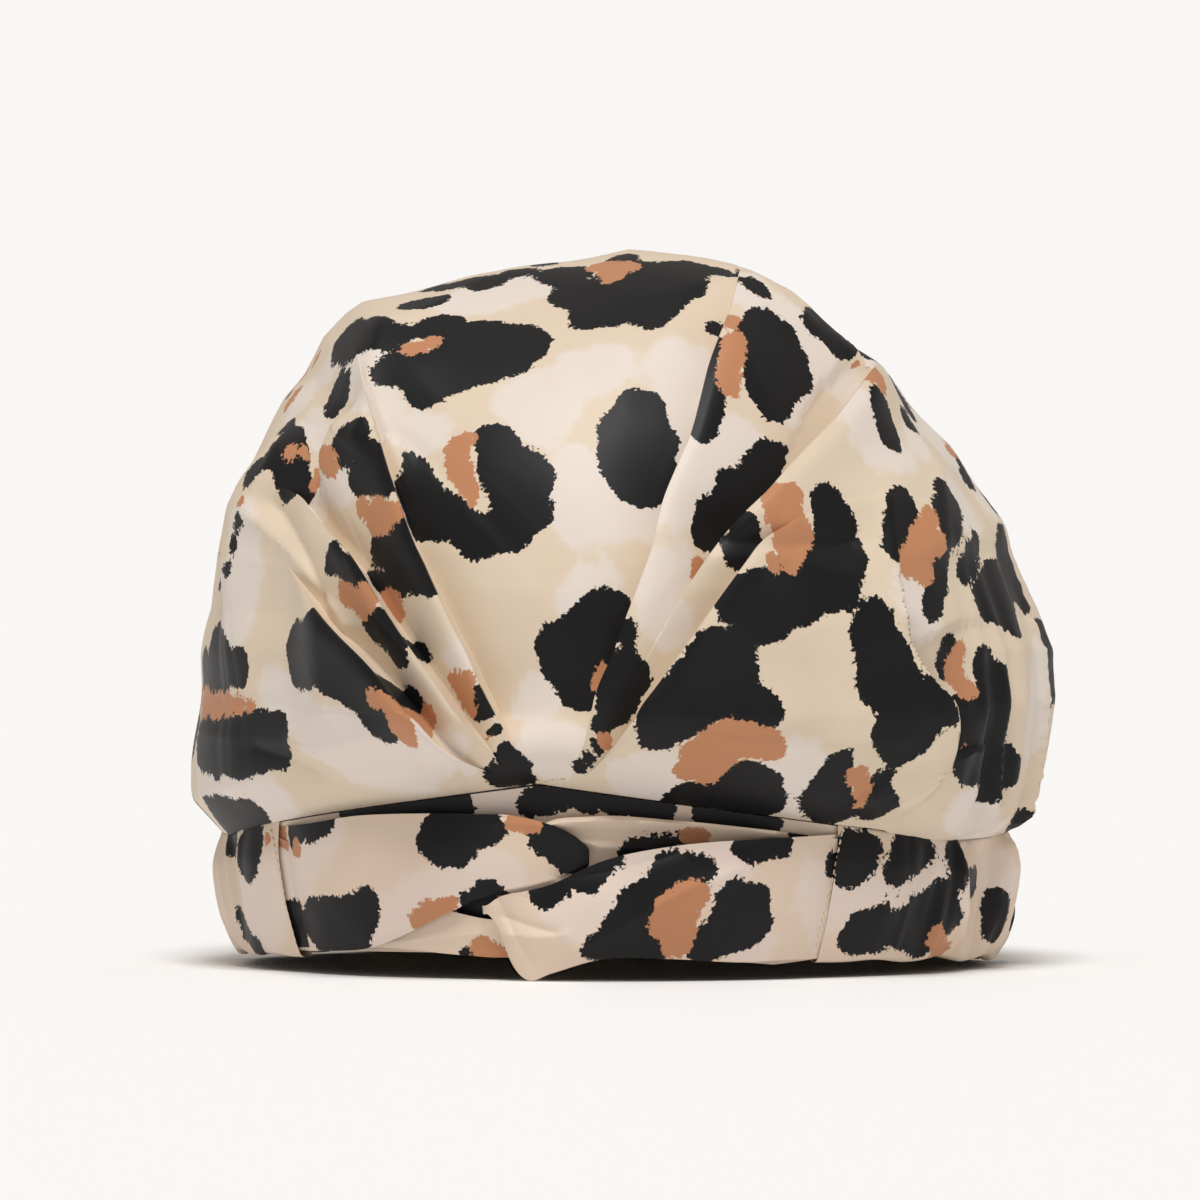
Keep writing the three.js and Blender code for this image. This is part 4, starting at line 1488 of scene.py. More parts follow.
# Dabs of paint, drawn over the photograph: each is a pixel and a radius in pixels, and each spot or
# wash starts a line.
DABS = {
    ("printed_crown", Paint.CHARCOAL): (
        (418, 462, 18), (424, 490, 20), (428, 520, 18), (450, 515, 22), (478, 535, 25), (505, 535, 18),
        (493, 440, 20), (505, 470, 28), (530, 475, 24), (535, 510, 18), (515, 520, 25),
        (441, 328, 18), (480, 340, 26), (515, 345, 28), (500, 355, 28), (470, 365, 28), (435, 375, 30),
        (425, 395, 14), (392, 370, 13), (381, 374, 9), (410, 360, 16),
        (565, 275, 18), (580, 295, 20), (610, 308, 24), (650, 300, 26), (660, 275, 24), (685, 268, 18),
        (680, 285, 18), (592, 318, 14), (655, 320, 12), (630, 270, 18), (622, 258, 10), (545, 264, 9),
        (520, 272, 9), (495, 280, 8), (480, 288, 5),
        (642, 408, 22), (628, 435, 30), (648, 440, 30), (632, 465, 32), (650, 475, 28), (638, 485, 20),
        (345, 340, 16), (365, 335, 17), (385, 338, 12), (402, 333, 7), (352, 343, 13), (339, 390, 11),
        (337, 402, 14), (332, 414, 8), (358, 430, 11), (345, 440, 14), (340, 450, 10), (360, 422, 8),
        (289, 425, 10), (290, 440, 16), (276, 452, 12), (305, 450, 10), (296, 436, 14), (412, 305, 9),
        (425, 303, 9), (437, 300, 6), (430, 284, 7), (450, 281, 9), (470, 276, 8),
        (375, 458, 17), (362, 474, 18), (385, 478, 18), (398, 495, 14), (408, 510, 10), (380, 545, 12),
        (395, 535, 16), (405, 560, 20), (420, 575, 16), (395, 580, 14), (432, 585, 9), (410, 525, 10),
        (288, 470, 12), (290, 485, 13), (303, 487, 12), (310, 494, 7),
        (335, 555, 12), (345, 570, 14), (360, 577, 14), (375, 585, 10), (330, 563, 9), (380, 628, 14),
        (395, 630, 14), (410, 645, 13), (398, 655, 10), (422, 655, 8), (370, 625, 8),
        (318, 632, 22), (304, 640, 12), (306, 668, 12), (296, 655, 22), (325, 655, 32), (350, 668, 32),
        (372, 690, 30), (398, 700, 22), (380, 718, 20), (412, 704, 12),
        (215, 645, 14), (222, 665, 22), (238, 668, 14), (212, 685, 14), (205, 670, 14), (205, 735, 22),
        (230, 740, 24), (255, 742, 24), (275, 740, 22), (240, 752, 18), (195, 735, 18), (216, 722, 12),
        (217, 738, 15), (216, 755, 13), (204, 722, 10),
        (218, 812, 12), (235, 815, 15), (255, 815, 14), (225, 825, 12), (250, 826, 14),
        (600, 608, 18), (618, 610, 16), (585, 625, 20), (555, 640, 16), (570, 655, 26), (600, 645, 28),
        (585, 680, 24), (610, 675, 18), (578, 700, 14), (560, 662, 20), (625, 630, 12), (628, 670, 14),
        (640, 678, 12), (620, 690, 14), (625, 705, 12), (610, 715, 13), (600, 728, 9), (590, 758, 8),
        (580, 768, 7), (598, 748, 8),
        (485, 770, 8), (496, 776, 9), (505, 782, 6), (477, 695, 10), (485, 712, 11), (495, 730, 11),
        (505, 748, 11), (515, 765, 11), (524, 778, 8), (473, 708, 6),
        (758, 325, 14), (775, 335, 22), (785, 360, 24), (765, 350, 26), (770, 385, 24), (790, 375, 18),
        (772, 408, 12), (750, 340, 12), (718, 330, 9), (714, 350, 10), (712, 368, 8), (712, 380, 9),
        (710, 400, 12), (705, 420, 13), (702, 433, 9),
        (770, 458, 16), (785, 462, 12), (760, 475, 20), (735, 490, 20), (715, 515, 20), (705, 535, 15),
        (740, 510, 18), (725, 530, 14),
        (825, 500, 14), (835, 525, 22), (840, 555, 24), (835, 585, 24), (815, 600, 14), (745, 525, 16),
        (740, 550, 18), (752, 545, 14), (735, 600, 22), (765, 600, 30), (795, 595, 28), (770, 620, 20),
        (750, 615, 20), (815, 570, 20), (790, 560, 16),
        (712, 650, 20), (735, 658, 22), (700, 680, 28), (730, 685, 32), (765, 710, 20), (680, 710, 28),
        (660, 730, 24), (750, 712, 20), (690, 700, 30), (655, 712, 20), (690, 795, 16), (680, 800, 12),
        (745, 780, 22), (765, 790, 16), (730, 795, 22), (755, 805, 18), (710, 805, 14), (770, 805, 12),
        (700, 808, 12),
        (876, 612, 14), (872, 635, 22), (885, 655, 24), (880, 680, 24), (900, 690, 28), (912, 715, 24),
        (915, 735, 20), (890, 735, 18), (900, 750, 12), (928, 700, 12),
        (840, 762, 11), (832, 785, 18), (820, 800, 16), (840, 810, 14), (828, 818, 10), (880, 783, 11),
        (882, 800, 12), (874, 812, 10),
        (950, 645, 8), (945, 665, 10), (940, 690, 9), (948, 715, 11), (985, 665, 12), (1000, 680, 12),
        (995, 700, 18), (985, 720, 20), (1000, 740, 20), (1005, 765, 20), (990, 785, 18), (975, 755, 20),
        (965, 735, 16), (960, 710, 14), (983, 748, 11), (992, 753, 13), (1001, 756, 11),
        (1005, 550, 16), (1010, 570, 22), (1005, 595, 24), (990, 605, 16), (1012, 615, 14), (1020, 590, 14),
        (1055, 640, 14), (1058, 665, 14), (1052, 690, 10), (1028, 822, 8), (1028, 835, 6),
        (942, 560, 11), (938, 580, 12), (934, 600, 10), (931, 613, 7), (976, 542, 7), (970, 558, 9),
        (963, 573, 8), (902, 503, 13), (903, 525, 18), (900, 545, 15), (943, 490, 8), (952, 505, 13),
        (950, 525, 13), (942, 512, 9),
        (878, 400, 9), (885, 418, 11), (890, 435, 12), (898, 390, 11), (905, 405, 12), (908, 420, 10),
        (818, 318, 9), (830, 330, 14), (850, 342, 15), (865, 355, 12), (840, 345, 12), (812, 325, 8),
        (735, 275, 6), (750, 283, 8), (765, 294, 8), (722, 270, 5), (965, 462, 6), (978, 478, 7),
        (992, 493, 7), (1002, 505, 6),
        (285, 392, 4), (250, 475, 8), (255, 470, 6), (238, 520, 5), (233, 545, 5), (226, 570, 5),
        (220, 585, 4),
    ),
    ("printed_crown", Paint.CARAMEL): (
        (465, 440, 9), (456, 452, 13), (460, 470, 13), (466, 488, 11), (470, 500, 7),
        (410, 350, 7), (422, 347, 6), (432, 341, 6),
        (600, 266, 9), (615, 268, 11), (628, 266, 8), (613, 278, 7),
        (362, 507, 9), (380, 510, 10), (398, 511, 8), (374, 524, 9), (386, 524, 7),
        (290, 452, 8), (305, 452, 9), (322, 460, 11), (333, 465, 9), (318, 475, 10), (314, 485, 7),
        (345, 592, 10), (354, 597, 8), (365, 598, 13), (385, 605, 13), (397, 612, 9), (360, 610, 8),
        (372, 697, 8), (385, 700, 6), (393, 712, 8), (400, 725, 12), (418, 722, 14), (430, 716, 9),
        (408, 738, 10),
        (200, 703, 10), (215, 706, 9), (230, 704, 9), (192, 702, 8), (208, 704, 9), (222, 705, 9),
        (240, 704, 7), (251, 706, 5),
        (604, 672, 7), (598, 684, 7), (606, 738, 7), (604, 745, 6),
        (455, 682, 8), (468, 682, 8), (466, 697, 8), (471, 710, 6), (488, 738, 5),
        (735, 322, 10), (735, 340, 12), (730, 358, 12), (728, 375, 10), (730, 388, 8),
        (699, 566, 7), (695, 574, 6),
        (775, 500, 16), (790, 495, 13), (782, 520, 20), (785, 545, 18), (772, 562, 10), (790, 560, 12),
        (800, 535, 14),
        (700, 752, 18), (725, 740, 20), (750, 742, 18), (768, 745, 14), (688, 770, 12), (718, 762, 14),
        (710, 776, 9), (775, 752, 8),
        (858, 775, 9), (862, 790, 9), (858, 802, 7),
        (960, 650, 7), (953, 663, 8), (955, 678, 7), (965, 688, 6), (972, 690, 4), (963, 745, 3),
        (930, 515, 9), (925, 535, 13), (918, 555, 14), (908, 565, 11), (925, 575, 9), (940, 545, 9),
        (856, 365, 8), (870, 373, 9), (882, 382, 7), (955, 448, 6), (313, 355, 5), (305, 375, 6),
        (297, 392, 5), (288, 405, 5), (240, 500, 4),
    ),
    ("printed_crown", Paint.CREAM): (
        (455, 302, 8), (475, 300, 9), (497, 296, 10), (520, 288, 11), (540, 280, 9), (335, 356, 8),
        (352, 364, 10), (370, 366, 10), (366, 384, 9), (362, 400, 8), (300, 400, 9), (312, 418, 10),
        (320, 438, 9), (375, 390, 8), (380, 410, 8), (392, 430, 10), (412, 432, 9), (430, 436, 9),
        (320, 500, 8), (333, 490, 9), (345, 480, 8), (350, 465, 7),
        (520, 400, 13), (540, 405, 14), (560, 390, 15), (582, 372, 14), (605, 365, 14), (540, 425, 9),
        (572, 470, 14), (566, 495, 13), (585, 500, 15), (605, 510, 14), (575, 520, 10), (625, 512, 12),
        (645, 515, 10), (662, 505, 10), (672, 490, 8), (680, 360, 13), (690, 375, 13), (680, 390, 11),
        (690, 410, 10), (680, 430, 9), (676, 450, 9), (690, 460, 12), (700, 480, 12), (690, 500, 12),
        (720, 445, 12), (740, 440, 11), (715, 460, 13),
        (240, 520, 7), (243, 545, 10), (245, 570, 12), (240, 595, 14), (225, 605, 10), (232, 625, 12),
        (272, 690, 9), (290, 705, 11), (305, 722, 13), (325, 738, 13), (345, 752, 14), (368, 765, 14),
        (392, 768, 14), (415, 762, 14), (437, 756, 13), (455, 752, 9), (430, 738, 9), (470, 765, 5),
        (415, 780, 8), (350, 735, 8), (203, 770, 9), (222, 778, 10), (245, 785, 9), (268, 795, 9),
        (278, 810, 8), (270, 815, 6), (205, 790, 8),
        (600, 585, 9), (590, 595, 7), (575, 608, 6), (540, 690, 8), (535, 710, 9), (545, 730, 12),
        (560, 745, 11), (550, 765, 9), (538, 750, 8), (575, 735, 6), (458, 660, 6), (466, 672, 5),
        (655, 575, 11), (668, 590, 12), (672, 610, 11), (660, 600, 10), (680, 570, 9), (670, 625, 6),
        (640, 770, 10), (655, 778, 9), (665, 770, 8), (650, 790, 7), (620, 778, 7), (785, 760, 9),
        (790, 775, 9), (800, 765, 8), (795, 790, 8), (805, 780, 6), (790, 800, 7),
        (738, 280, 6), (745, 290, 8), (760, 300, 9), (780, 318, 10), (800, 335, 11), (818, 355, 12),
        (838, 375, 10), (820, 385, 11), (805, 400, 10), (800, 415, 9), (850, 390, 9), (858, 405, 8),
        (866, 420, 7), (868, 440, 6), (885, 450, 6), (900, 452, 6), (915, 440, 5), (960, 500, 8),
        (968, 520, 7), (985, 500, 6), (905, 590, 7), (912, 605, 7), (915, 615, 8), (925, 630, 7),
        (1042, 660, 7), (1040, 680, 7), (1035, 700, 6), (1038, 720, 5), (1030, 740, 5), (965, 810, 9),
        (975, 830, 9), (990, 842, 9), (1005, 845, 8), (980, 800, 7),
    ),
    ("printed_left_loop", Paint.CHARCOAL): (
        (295, 829, 9), (310, 827, 10), (325, 822, 9), (294, 836, 6), (445, 825, 16), (470, 825, 18),
        (490, 828, 14), (440, 845, 16), (455, 850, 14), (430, 840, 10), (548, 835, 14), (565, 845, 16),
        (582, 852, 12), (570, 860, 11), (540, 832, 10), (292, 920, 16), (300, 938, 14), (320, 925, 20),
        (345, 925, 22), (362, 912, 14), (368, 900, 10), (350, 940, 16), (285, 935, 12), (470, 902, 9),
        (485, 897, 11), (495, 905, 8), (468, 955, 7),
    ),
    ("printed_left_loop", Paint.CARAMEL): (
        (480, 948, 9), (497, 953, 9), (278, 830, 10), (283, 845, 8), (297, 848, 6), (272, 838, 7),
        (515, 820, 9), (530, 822, 10), (420, 918, 9), (435, 910, 11), (450, 905, 8),
    ),
    ("printed_left_loop", Paint.CREAM): (
        (328, 832, 6), (312, 840, 8), (301, 863, 8), (292, 874, 8), (281, 855, 6), (378, 930, 7),
        (395, 920, 8), (412, 908, 8), (430, 896, 9), (450, 886, 9), (468, 878, 8), (487, 874, 7),
        (503, 876, 6),
    ),
    ("printed_right_loop", Paint.CHARCOAL): (
        (540, 890, 9), (553, 886, 9), (548, 897, 8), (578, 880, 8), (592, 878, 9), (672, 862, 9),
        (665, 875, 12), (690, 872, 12), (705, 870, 9), (680, 885, 14), (660, 895, 13), (640, 905, 16),
        (625, 925, 16), (645, 925, 18), (610, 945, 12), (640, 945, 14), (655, 950, 10), (590, 952, 7),
        (735, 900, 15), (752, 905, 17), (735, 925, 24), (715, 940, 16), (700, 948, 12), (755, 925, 14),
        (745, 845, 9), (760, 848, 12), (780, 843, 13), (798, 836, 9), (835, 865, 12),
        (577, 872, 4), (586, 869, 4), (595, 865, 4.5), (604, 862, 5), (613, 858, 5), (622, 855, 5),
        (631, 852, 4.5), (640, 849, 4.5), (649, 847, 4), (658, 846, 4), (667, 845, 3.5),
        (680, 839, 3.5), (690, 841, 4),
    ),
    ("printed_right_loop", Paint.CARAMEL): (
        (686, 836, 5), (694, 834, 6), (703, 835, 5),
        (670, 905, 13), (690, 900, 14), (700, 892, 9), (665, 925, 14), (680, 930, 14), (675, 948, 11),
    ),
    ("printed_right_loop", Paint.CREAM): (
        (600, 880, 8), (618, 872, 8), (636, 868, 8), (650, 866, 7), (700, 858, 8), (720, 868, 7),
        (730, 860, 7), (620, 900, 7), (600, 910, 7), (640, 888, 6), (655, 885, 5), (712, 878, 6),
        (755, 945, 6), (745, 950, 5), (560, 905, 7), (575, 915, 7), (820, 900, 8), (822, 925, 6),
        (815, 880, 6),
    ),
    ("printed_casing", Paint.CHARCOAL): (
        (233, 838, 12), (252, 838, 13), (245, 853, 12), (248, 866, 9), (240, 915, 5), (246, 930, 7),
        (258, 948, 8), (850, 850, 14), (860, 858, 16), (848, 875, 12), (868, 845, 9), (905, 850, 12),
        (915, 855, 13), (897, 874, 11), (925, 850, 8), (860, 930, 14), (880, 922, 12), (850, 940, 10),
        (893, 926, 8), (875, 940, 10), (915, 915, 14), (935, 905, 16), (950, 920, 12), (920, 935, 16),
        (905, 930, 12), (945, 895, 9), (955, 850, 10), (965, 865, 11), (973, 882, 10), (995, 900, 12),
        (1002, 915, 13), (995, 930, 9),
    ),
    ("printed_casing", Paint.CARAMEL): (
        (938, 935, 9), (940, 950, 8), (268, 838, 5),
    ),
    ("printed_casing", Paint.CREAM): (
        (250, 891, 12), (264, 911, 14), (253, 925, 10), (275, 883, 10), (261, 933, 9), (281, 870, 7),
        (935, 860, 9), (925, 875, 8), (940, 845, 7), (950, 865, 7), (962, 900, 5), (1000, 870, 8),
        (1005, 885, 7), (854, 903, 9), (862, 895, 8), (845, 905, 6), (880, 892, 7), (905, 902, 7),
        (917, 890, 7),
    ),
    ("printed_facing", Paint.CHARCOAL): (
        # From (345, 815) to (465, 806): print and painted shade, in the strip under the crown's hem.
        (345, 815, 6), (360, 813, 6), (373, 811, 7), (386, 810, 8), (397, 808, 8), (408, 808, 8),
        (420, 808, 8), (432, 806, 8), (444, 804, 8), (455, 804, 8), (465, 806, 7), (530, 806, 9),
        (540, 800, 12), (565, 795, 10), (590, 798, 12), (615, 802, 12), (640, 806, 11), (665, 810, 9),
        (703, 811, 8), (714, 813, 8), (726, 814, 8), (738, 817, 8), (750, 819, 7), (762, 820, 7),
        (775, 822, 7),
        (464, 909, 7), (474, 905, 8), (484, 901, 8), (486, 911, 7),
    ),
    ("printed_facing", Paint.CREAM): (
        (475, 800, 7), (490, 795, 7), (505, 795, 6), (500, 805, 6),
    ),
}


Dab = tuple[Paint, Points, float]


class Spot(Enum):
    """The kinds of leopard spot, with how often each comes."""

    HORSESHOE = 0.45
    BLOT = 0.3
    BEAN = 0.25


@dataclass(frozen=True)
class Rosette:
    """A leopard spot for cloth that the photograph doesn't show, with sizes in millimetres.

    A horseshoe is a ring of dabs with a gap and a core, a blot is a heap of dabs, and a bean is three in a
    row. A pale wash lies beside each. Where a field has two numbers, chance picks between them.
    """

    ring: float = 12.0
    dab: float = 8.5
    core: float = 6.0
    count: int = 9
    stretch: tuple[float, float] = (0.95, 1.6)
    growth: tuple[float, float] = (0.8, 1.25)
    gap_steps: tuple[int, int] = (2, 5)
    ring_share: tuple[float, float] = (0.85, 1.15)
    dab_share: tuple[float, float] = (0.65, 1.2)
    core_dabs: int = 3
    core_start: float = 1.2
    core_step: float = 1.3
    blot_dabs: int = 6
    blot_spread: float = 0.42
    blot_share: tuple[float, float] = (0.85, 1.35)
    blot_core_chance: float = 0.5
    blot_core_share: float = 0.8
    blot_core_place: tuple[float, float] = (-4.0, 4.0)
    bean_dabs: int = 3
    bean_step: float = 6.0
    bean_place: tuple[float, float] = (-1.5, 1.5)
    bean_size: tuple[float, float] = (3.5, 6.5)
    wash_dabs: int = 6
    wash_turn: float = 0.42
    wash_ring: float = 29.0
    wash_place: tuple[float, float] = (-3.0, 3.0)
    wash_size: tuple[float, float] = (6.0, 9.5)

    def dabs(self, spot: Points, normal: Points, dice: np.random.Generator) -> list[Dab]:
        """Draws one spot and the pale wash beside it.

        Args:
            spot: Its middle.
            normal: The direction out of the cloth.
            dice: The source of its variety.

        Returns:
            Its dabs.
        """
        across = unit(np.cross(normal, dice.normal(size=3)))
        along = np.cross(normal, across)
        long = dice.uniform(*self.stretch)
        grown = dice.uniform(*self.growth)
        kind = dice.choice(list(Spot), p=[kind.value for kind in Spot])
        made: list[Dab] = []

        def put(paint: Paint, x: float, y: float, radius: float) -> None:
            """Adds a dab at a place on the cloth."""
            made.append((paint, spot + across * x + along * y, radius))

        if kind is Spot.HORSESHOE:
            gap = int(dice.integers(*self.gap_steps))
            for i in range(self.count - gap):
                turn = 2.0 * math.pi * i / self.count
                radius = self.ring * grown * dice.uniform(*self.ring_share)
                weight = self.dab * grown * dice.uniform(*self.dab_share)
                put(Paint.CHARCOAL, radius * math.cos(turn) * long, radius * math.sin(turn), weight)
            middle = math.pi * (1.0 - gap / self.count)
            for i in range(self.core_dabs):
                slide = self.core * (self.core_start - self.core_step * i)
                put(Paint.CARAMEL, -math.cos(middle) * slide, -math.sin(middle) * slide, self.core * grown)
        elif kind is Spot.BLOT:
            for _ in range(self.blot_dabs):
                x, y = dice.normal(0.0, self.ring * self.blot_spread, 2)
                put(Paint.CHARCOAL, x * long, y, self.dab * grown * dice.uniform(*self.blot_share))
            if dice.uniform() < self.blot_core_chance:
                x, y = dice.uniform(*self.blot_core_place), dice.uniform(*self.blot_core_place)
                put(Paint.CARAMEL, x, y, self.core * self.blot_core_share)
        else:
            for i in range(self.bean_dabs):
                x, y = (i - 1) * self.bean_step * long, dice.uniform(*self.bean_place)
                put(Paint.CHARCOAL, x, y, dice.uniform(*self.bean_size))
        turn = dice.uniform(0.0, 2.0 * math.pi)
        for _ in range(self.wash_dabs):
            turn += self.wash_turn
            radius = self.wash_ring * grown + dice.uniform(*self.wash_place)
            put(Paint.CREAM, radius * math.cos(turn), radius * math.sin(turn), dice.uniform(*self.wash_size))
        return made


@dataclass(frozen=True)
class LeopardPrint:
    """The print: each piece's own dabs, run together and kept as distances inside each colour."""

    view: PhotoView
    rosette: Rosette = Rosette()
    rosette_spacing: float = 47.0
    photo_clear: float = 24.0
    tries: int = 5000
    seek: float = 5.0
    seek_steps: int = 6
    least_facing: float = 0.4
    hidden_facing: float = -0.1
    outside: float = -50.0
    batch: int = 8000

    @staticmethod
    def bleed(paint: Paint) -> float:
        """Gives how far a paint's dabs grow on the cloth."""
        return {Paint.CHARCOAL: 0.5, Paint.CARAMEL: 0.3, Paint.CREAM: 0.6}[paint]

    @staticmethod
    def blend(paint: Paint) -> float:
        """Gives how far a paint's dabs reach out for each other."""
        return {Paint.CHARCOAL: 2.2, Paint.CARAMEL: 1.8, Paint.CREAM: 3.0}[paint]

    def colour(self, cloth: ClothSurface, seed: Seed, spread: bool = True) -> ClothSurface:
        """Gives a cloth its print.

        Args:
            cloth: The cloth.
            seed: The source of the rosettes where the photograph shows nothing.
            spread: Whether there are such rosettes.

        Returns:
            The same cloth, with a field for each colour.
        """
        features, places = cloth.features(), cloth.places()
        steps = [np.gradient(cloth.points, axis=axis) for axis in (0, 1)]
        normals = unit(np.cross(*steps)).reshape(-1, 3)
        found = self.seen(cloth, normals)
        if spread:
            outward = np.sign(((places - self.view.aim()) * normals).sum(1))[:, None]
            hidden = (normals * outward) @ self.view.back() < self.hidden_facing
            found += self.unseen(found, features, normals, hidden, seed)
        for paint in Paint:
            chosen = [(spot, radius) for kind, spot, radius in found if kind is paint]
            cloth.fields[paint.value] = self.inside(features, chosen, self.blend(paint))
        return cloth

    def seen(self, cloth: ClothSurface, normals: Points) -> list[Dab]:
        """Lays the dabs drawn over the photograph on a cloth.

        Args:
            cloth: The cloth.
            normals: The directions out of it, one row for each point.

        Returns:
            The dabs, with places that hold their layer too.
        """
        faces, features, places, tree = cloth.faces(), cloth.features(), cloth.places(), cloth.tree()
        made: list[Dab] = []
        for paint in Paint:
            for x, y, radius in DABS.get((cloth.name, paint), ()):
                hit = self.landing(tree, np.array([x, y]))
                if hit is None:
                    continue
                spot, index = hit
                corners = list(faces[index])
                nearest = corners[int(np.argmin(np.linalg.norm(places[corners] - spot, axis=1)))]
                slant = math.sqrt(max(self.least_facing, abs(float(normals[nearest] @ self.view.back()))))
                size = radius * PIXEL_MM / slant + self.bleed(paint)
                made.append((paint, np.append(spot, features[nearest, 3:]), size))
        return made

    def landing(self, tree: BVHTree, pixel: Points) -> tuple[Points, int] | None:
        """Finds where a dab lands, drawn towards the cap's middle if its own pixel misses the cloth.

        Args:
            tree: The cloth.
            pixel: The dab's pixel.

        Returns:
            The place and the face, or nothing if it keeps missing.
        """
        away = self.view.frame_pixels / 2.0 - pixel
        away /= np.hypot(*away)
        for step in range(self.seek_steps):
            spot, _, index, _ = tree.ray_cast(*self.view.ray(tuple(pixel + away * step * self.seek)))
            if spot is not None:
                return np.array(spot), index
        return None

    def unseen(
        self, found: list[Dab], features: Points, normals: Points, hidden: Points, seed: Seed
    ) -> list[Dab]:
        """Scatters rosettes over the hidden cloth.

        Args:
            found: The dabs from the photograph, which the rosettes keep clear of.
            features: Each point's place and layers.
            normals: The directions out of the cloth.
            hidden: Whether each point is hidden from the photograph.
            seed: The source of the places.

        Returns:
            The rosettes' dabs.
        """
        dice = np.random.default_rng(seed.value)
        taken = [spot[:3] for _, spot, _ in found]
        rosettes: list[Points] = []
        made: list[Dab] = []
        for i in dice.permutation(np.flatnonzero(hidden))[: self.tries]:
            place = features[i, :3]
            if self.crowded(place, taken, self.photo_clear):
                continue
            if self.crowded(place, rosettes, self.rosette_spacing):
                continue
            rosettes.append(place)
            for paint, spot, radius in self.rosette.dabs(place, normals[i], dice):
                made.append((paint, np.append(spot, features[i, 3:]), radius))
        return made

    @staticmethod
    def crowded(place: Points, others: list[Points], clear: float) -> bool:
        """Says whether a place is too near to others."""
        return bool(others) and np.min(np.linalg.norm(np.array(others) - place, axis=1)) < clear

    def inside(self, features: Points, dabs: list[tuple[Points, float]], blend: float) -> Points:
        """Gives how far inside the run-together dabs each point is.

        Args:
            features: Each point's place and layers.
            dabs: The places and radii of one paint's dabs.
            blend: How far the dabs reach out for each other.

        Returns:
            Distances in millimetres, less than zero outside.
        """
        if not dabs:
            return np.full(len(features), self.outside)
        spots, radii = (np.array(part) for part in zip(*dabs))
        made = np.zeros(len(features))
        for start in range(0, len(features), self.batch):
            part = features[start : start + self.batch]
            square = (part**2).sum(1)[:, None] + (spots**2).sum(1)[None, :] - 2.0 * part @ spots.T
            depth = (radii[None, :] - np.sqrt(np.maximum(square, 0.0))) / blend
            top = depth.max(1)
            made[start : start + self.batch] = blend * (top + np.log(np.exp(depth - top[:, None]).sum(1)))
        return np.maximum(made, self.outside)


def linear(colour: str) -> tuple[float, float, float, float]:
    """Turns an sRGB hex colour into the linear values that a shader takes.

    Args:
        colour: The colour, as #RRGGBB.

    Returns:
        Its red, green, blue and alpha.
    """
    parts = [int(colour[i : i + 2], 16) / 255.0 for i in (1, 3, 5)]
    turned = [part / 12.92 if part <= 0.04045 else ((part + 0.055) / 1.055) ** 2.4 for part in parts]
    return (*turned, 1.0)


def add_node(tree: bpy.types.NodeTree, kind: str, **settings: object) -> bpy.types.Node:
    """Adds a node and sets it up.

    Args:
        tree: The material's node tree.
        kind: The node's type.
        settings: Its properties by name; a name that starts with in_ and a number is an input, which takes a
            value or another node's output.

    Returns:
        The node.
    """
    node = tree.nodes.new(kind)
    for name, value in settings.items():
        if not name.startswith("in_"):
            setattr(node, name, value)
    for name, value in settings.items():
        if name.startswith("in_"):
            socket = node.inputs[int(name[3:])]
            if isinstance(value, bpy.types.NodeSocket):
                tree.links.new(value, socket)
            else:
                socket.default_value = value
    return node


@dataclass(frozen=True)
class PaintEdge:
    """How a paint's edge breaks up, in millimetres: its teeth, its waves, its softness and how far it ran."""

    ragged: float
    waved: float
    soft: float
    run: float = 0.0


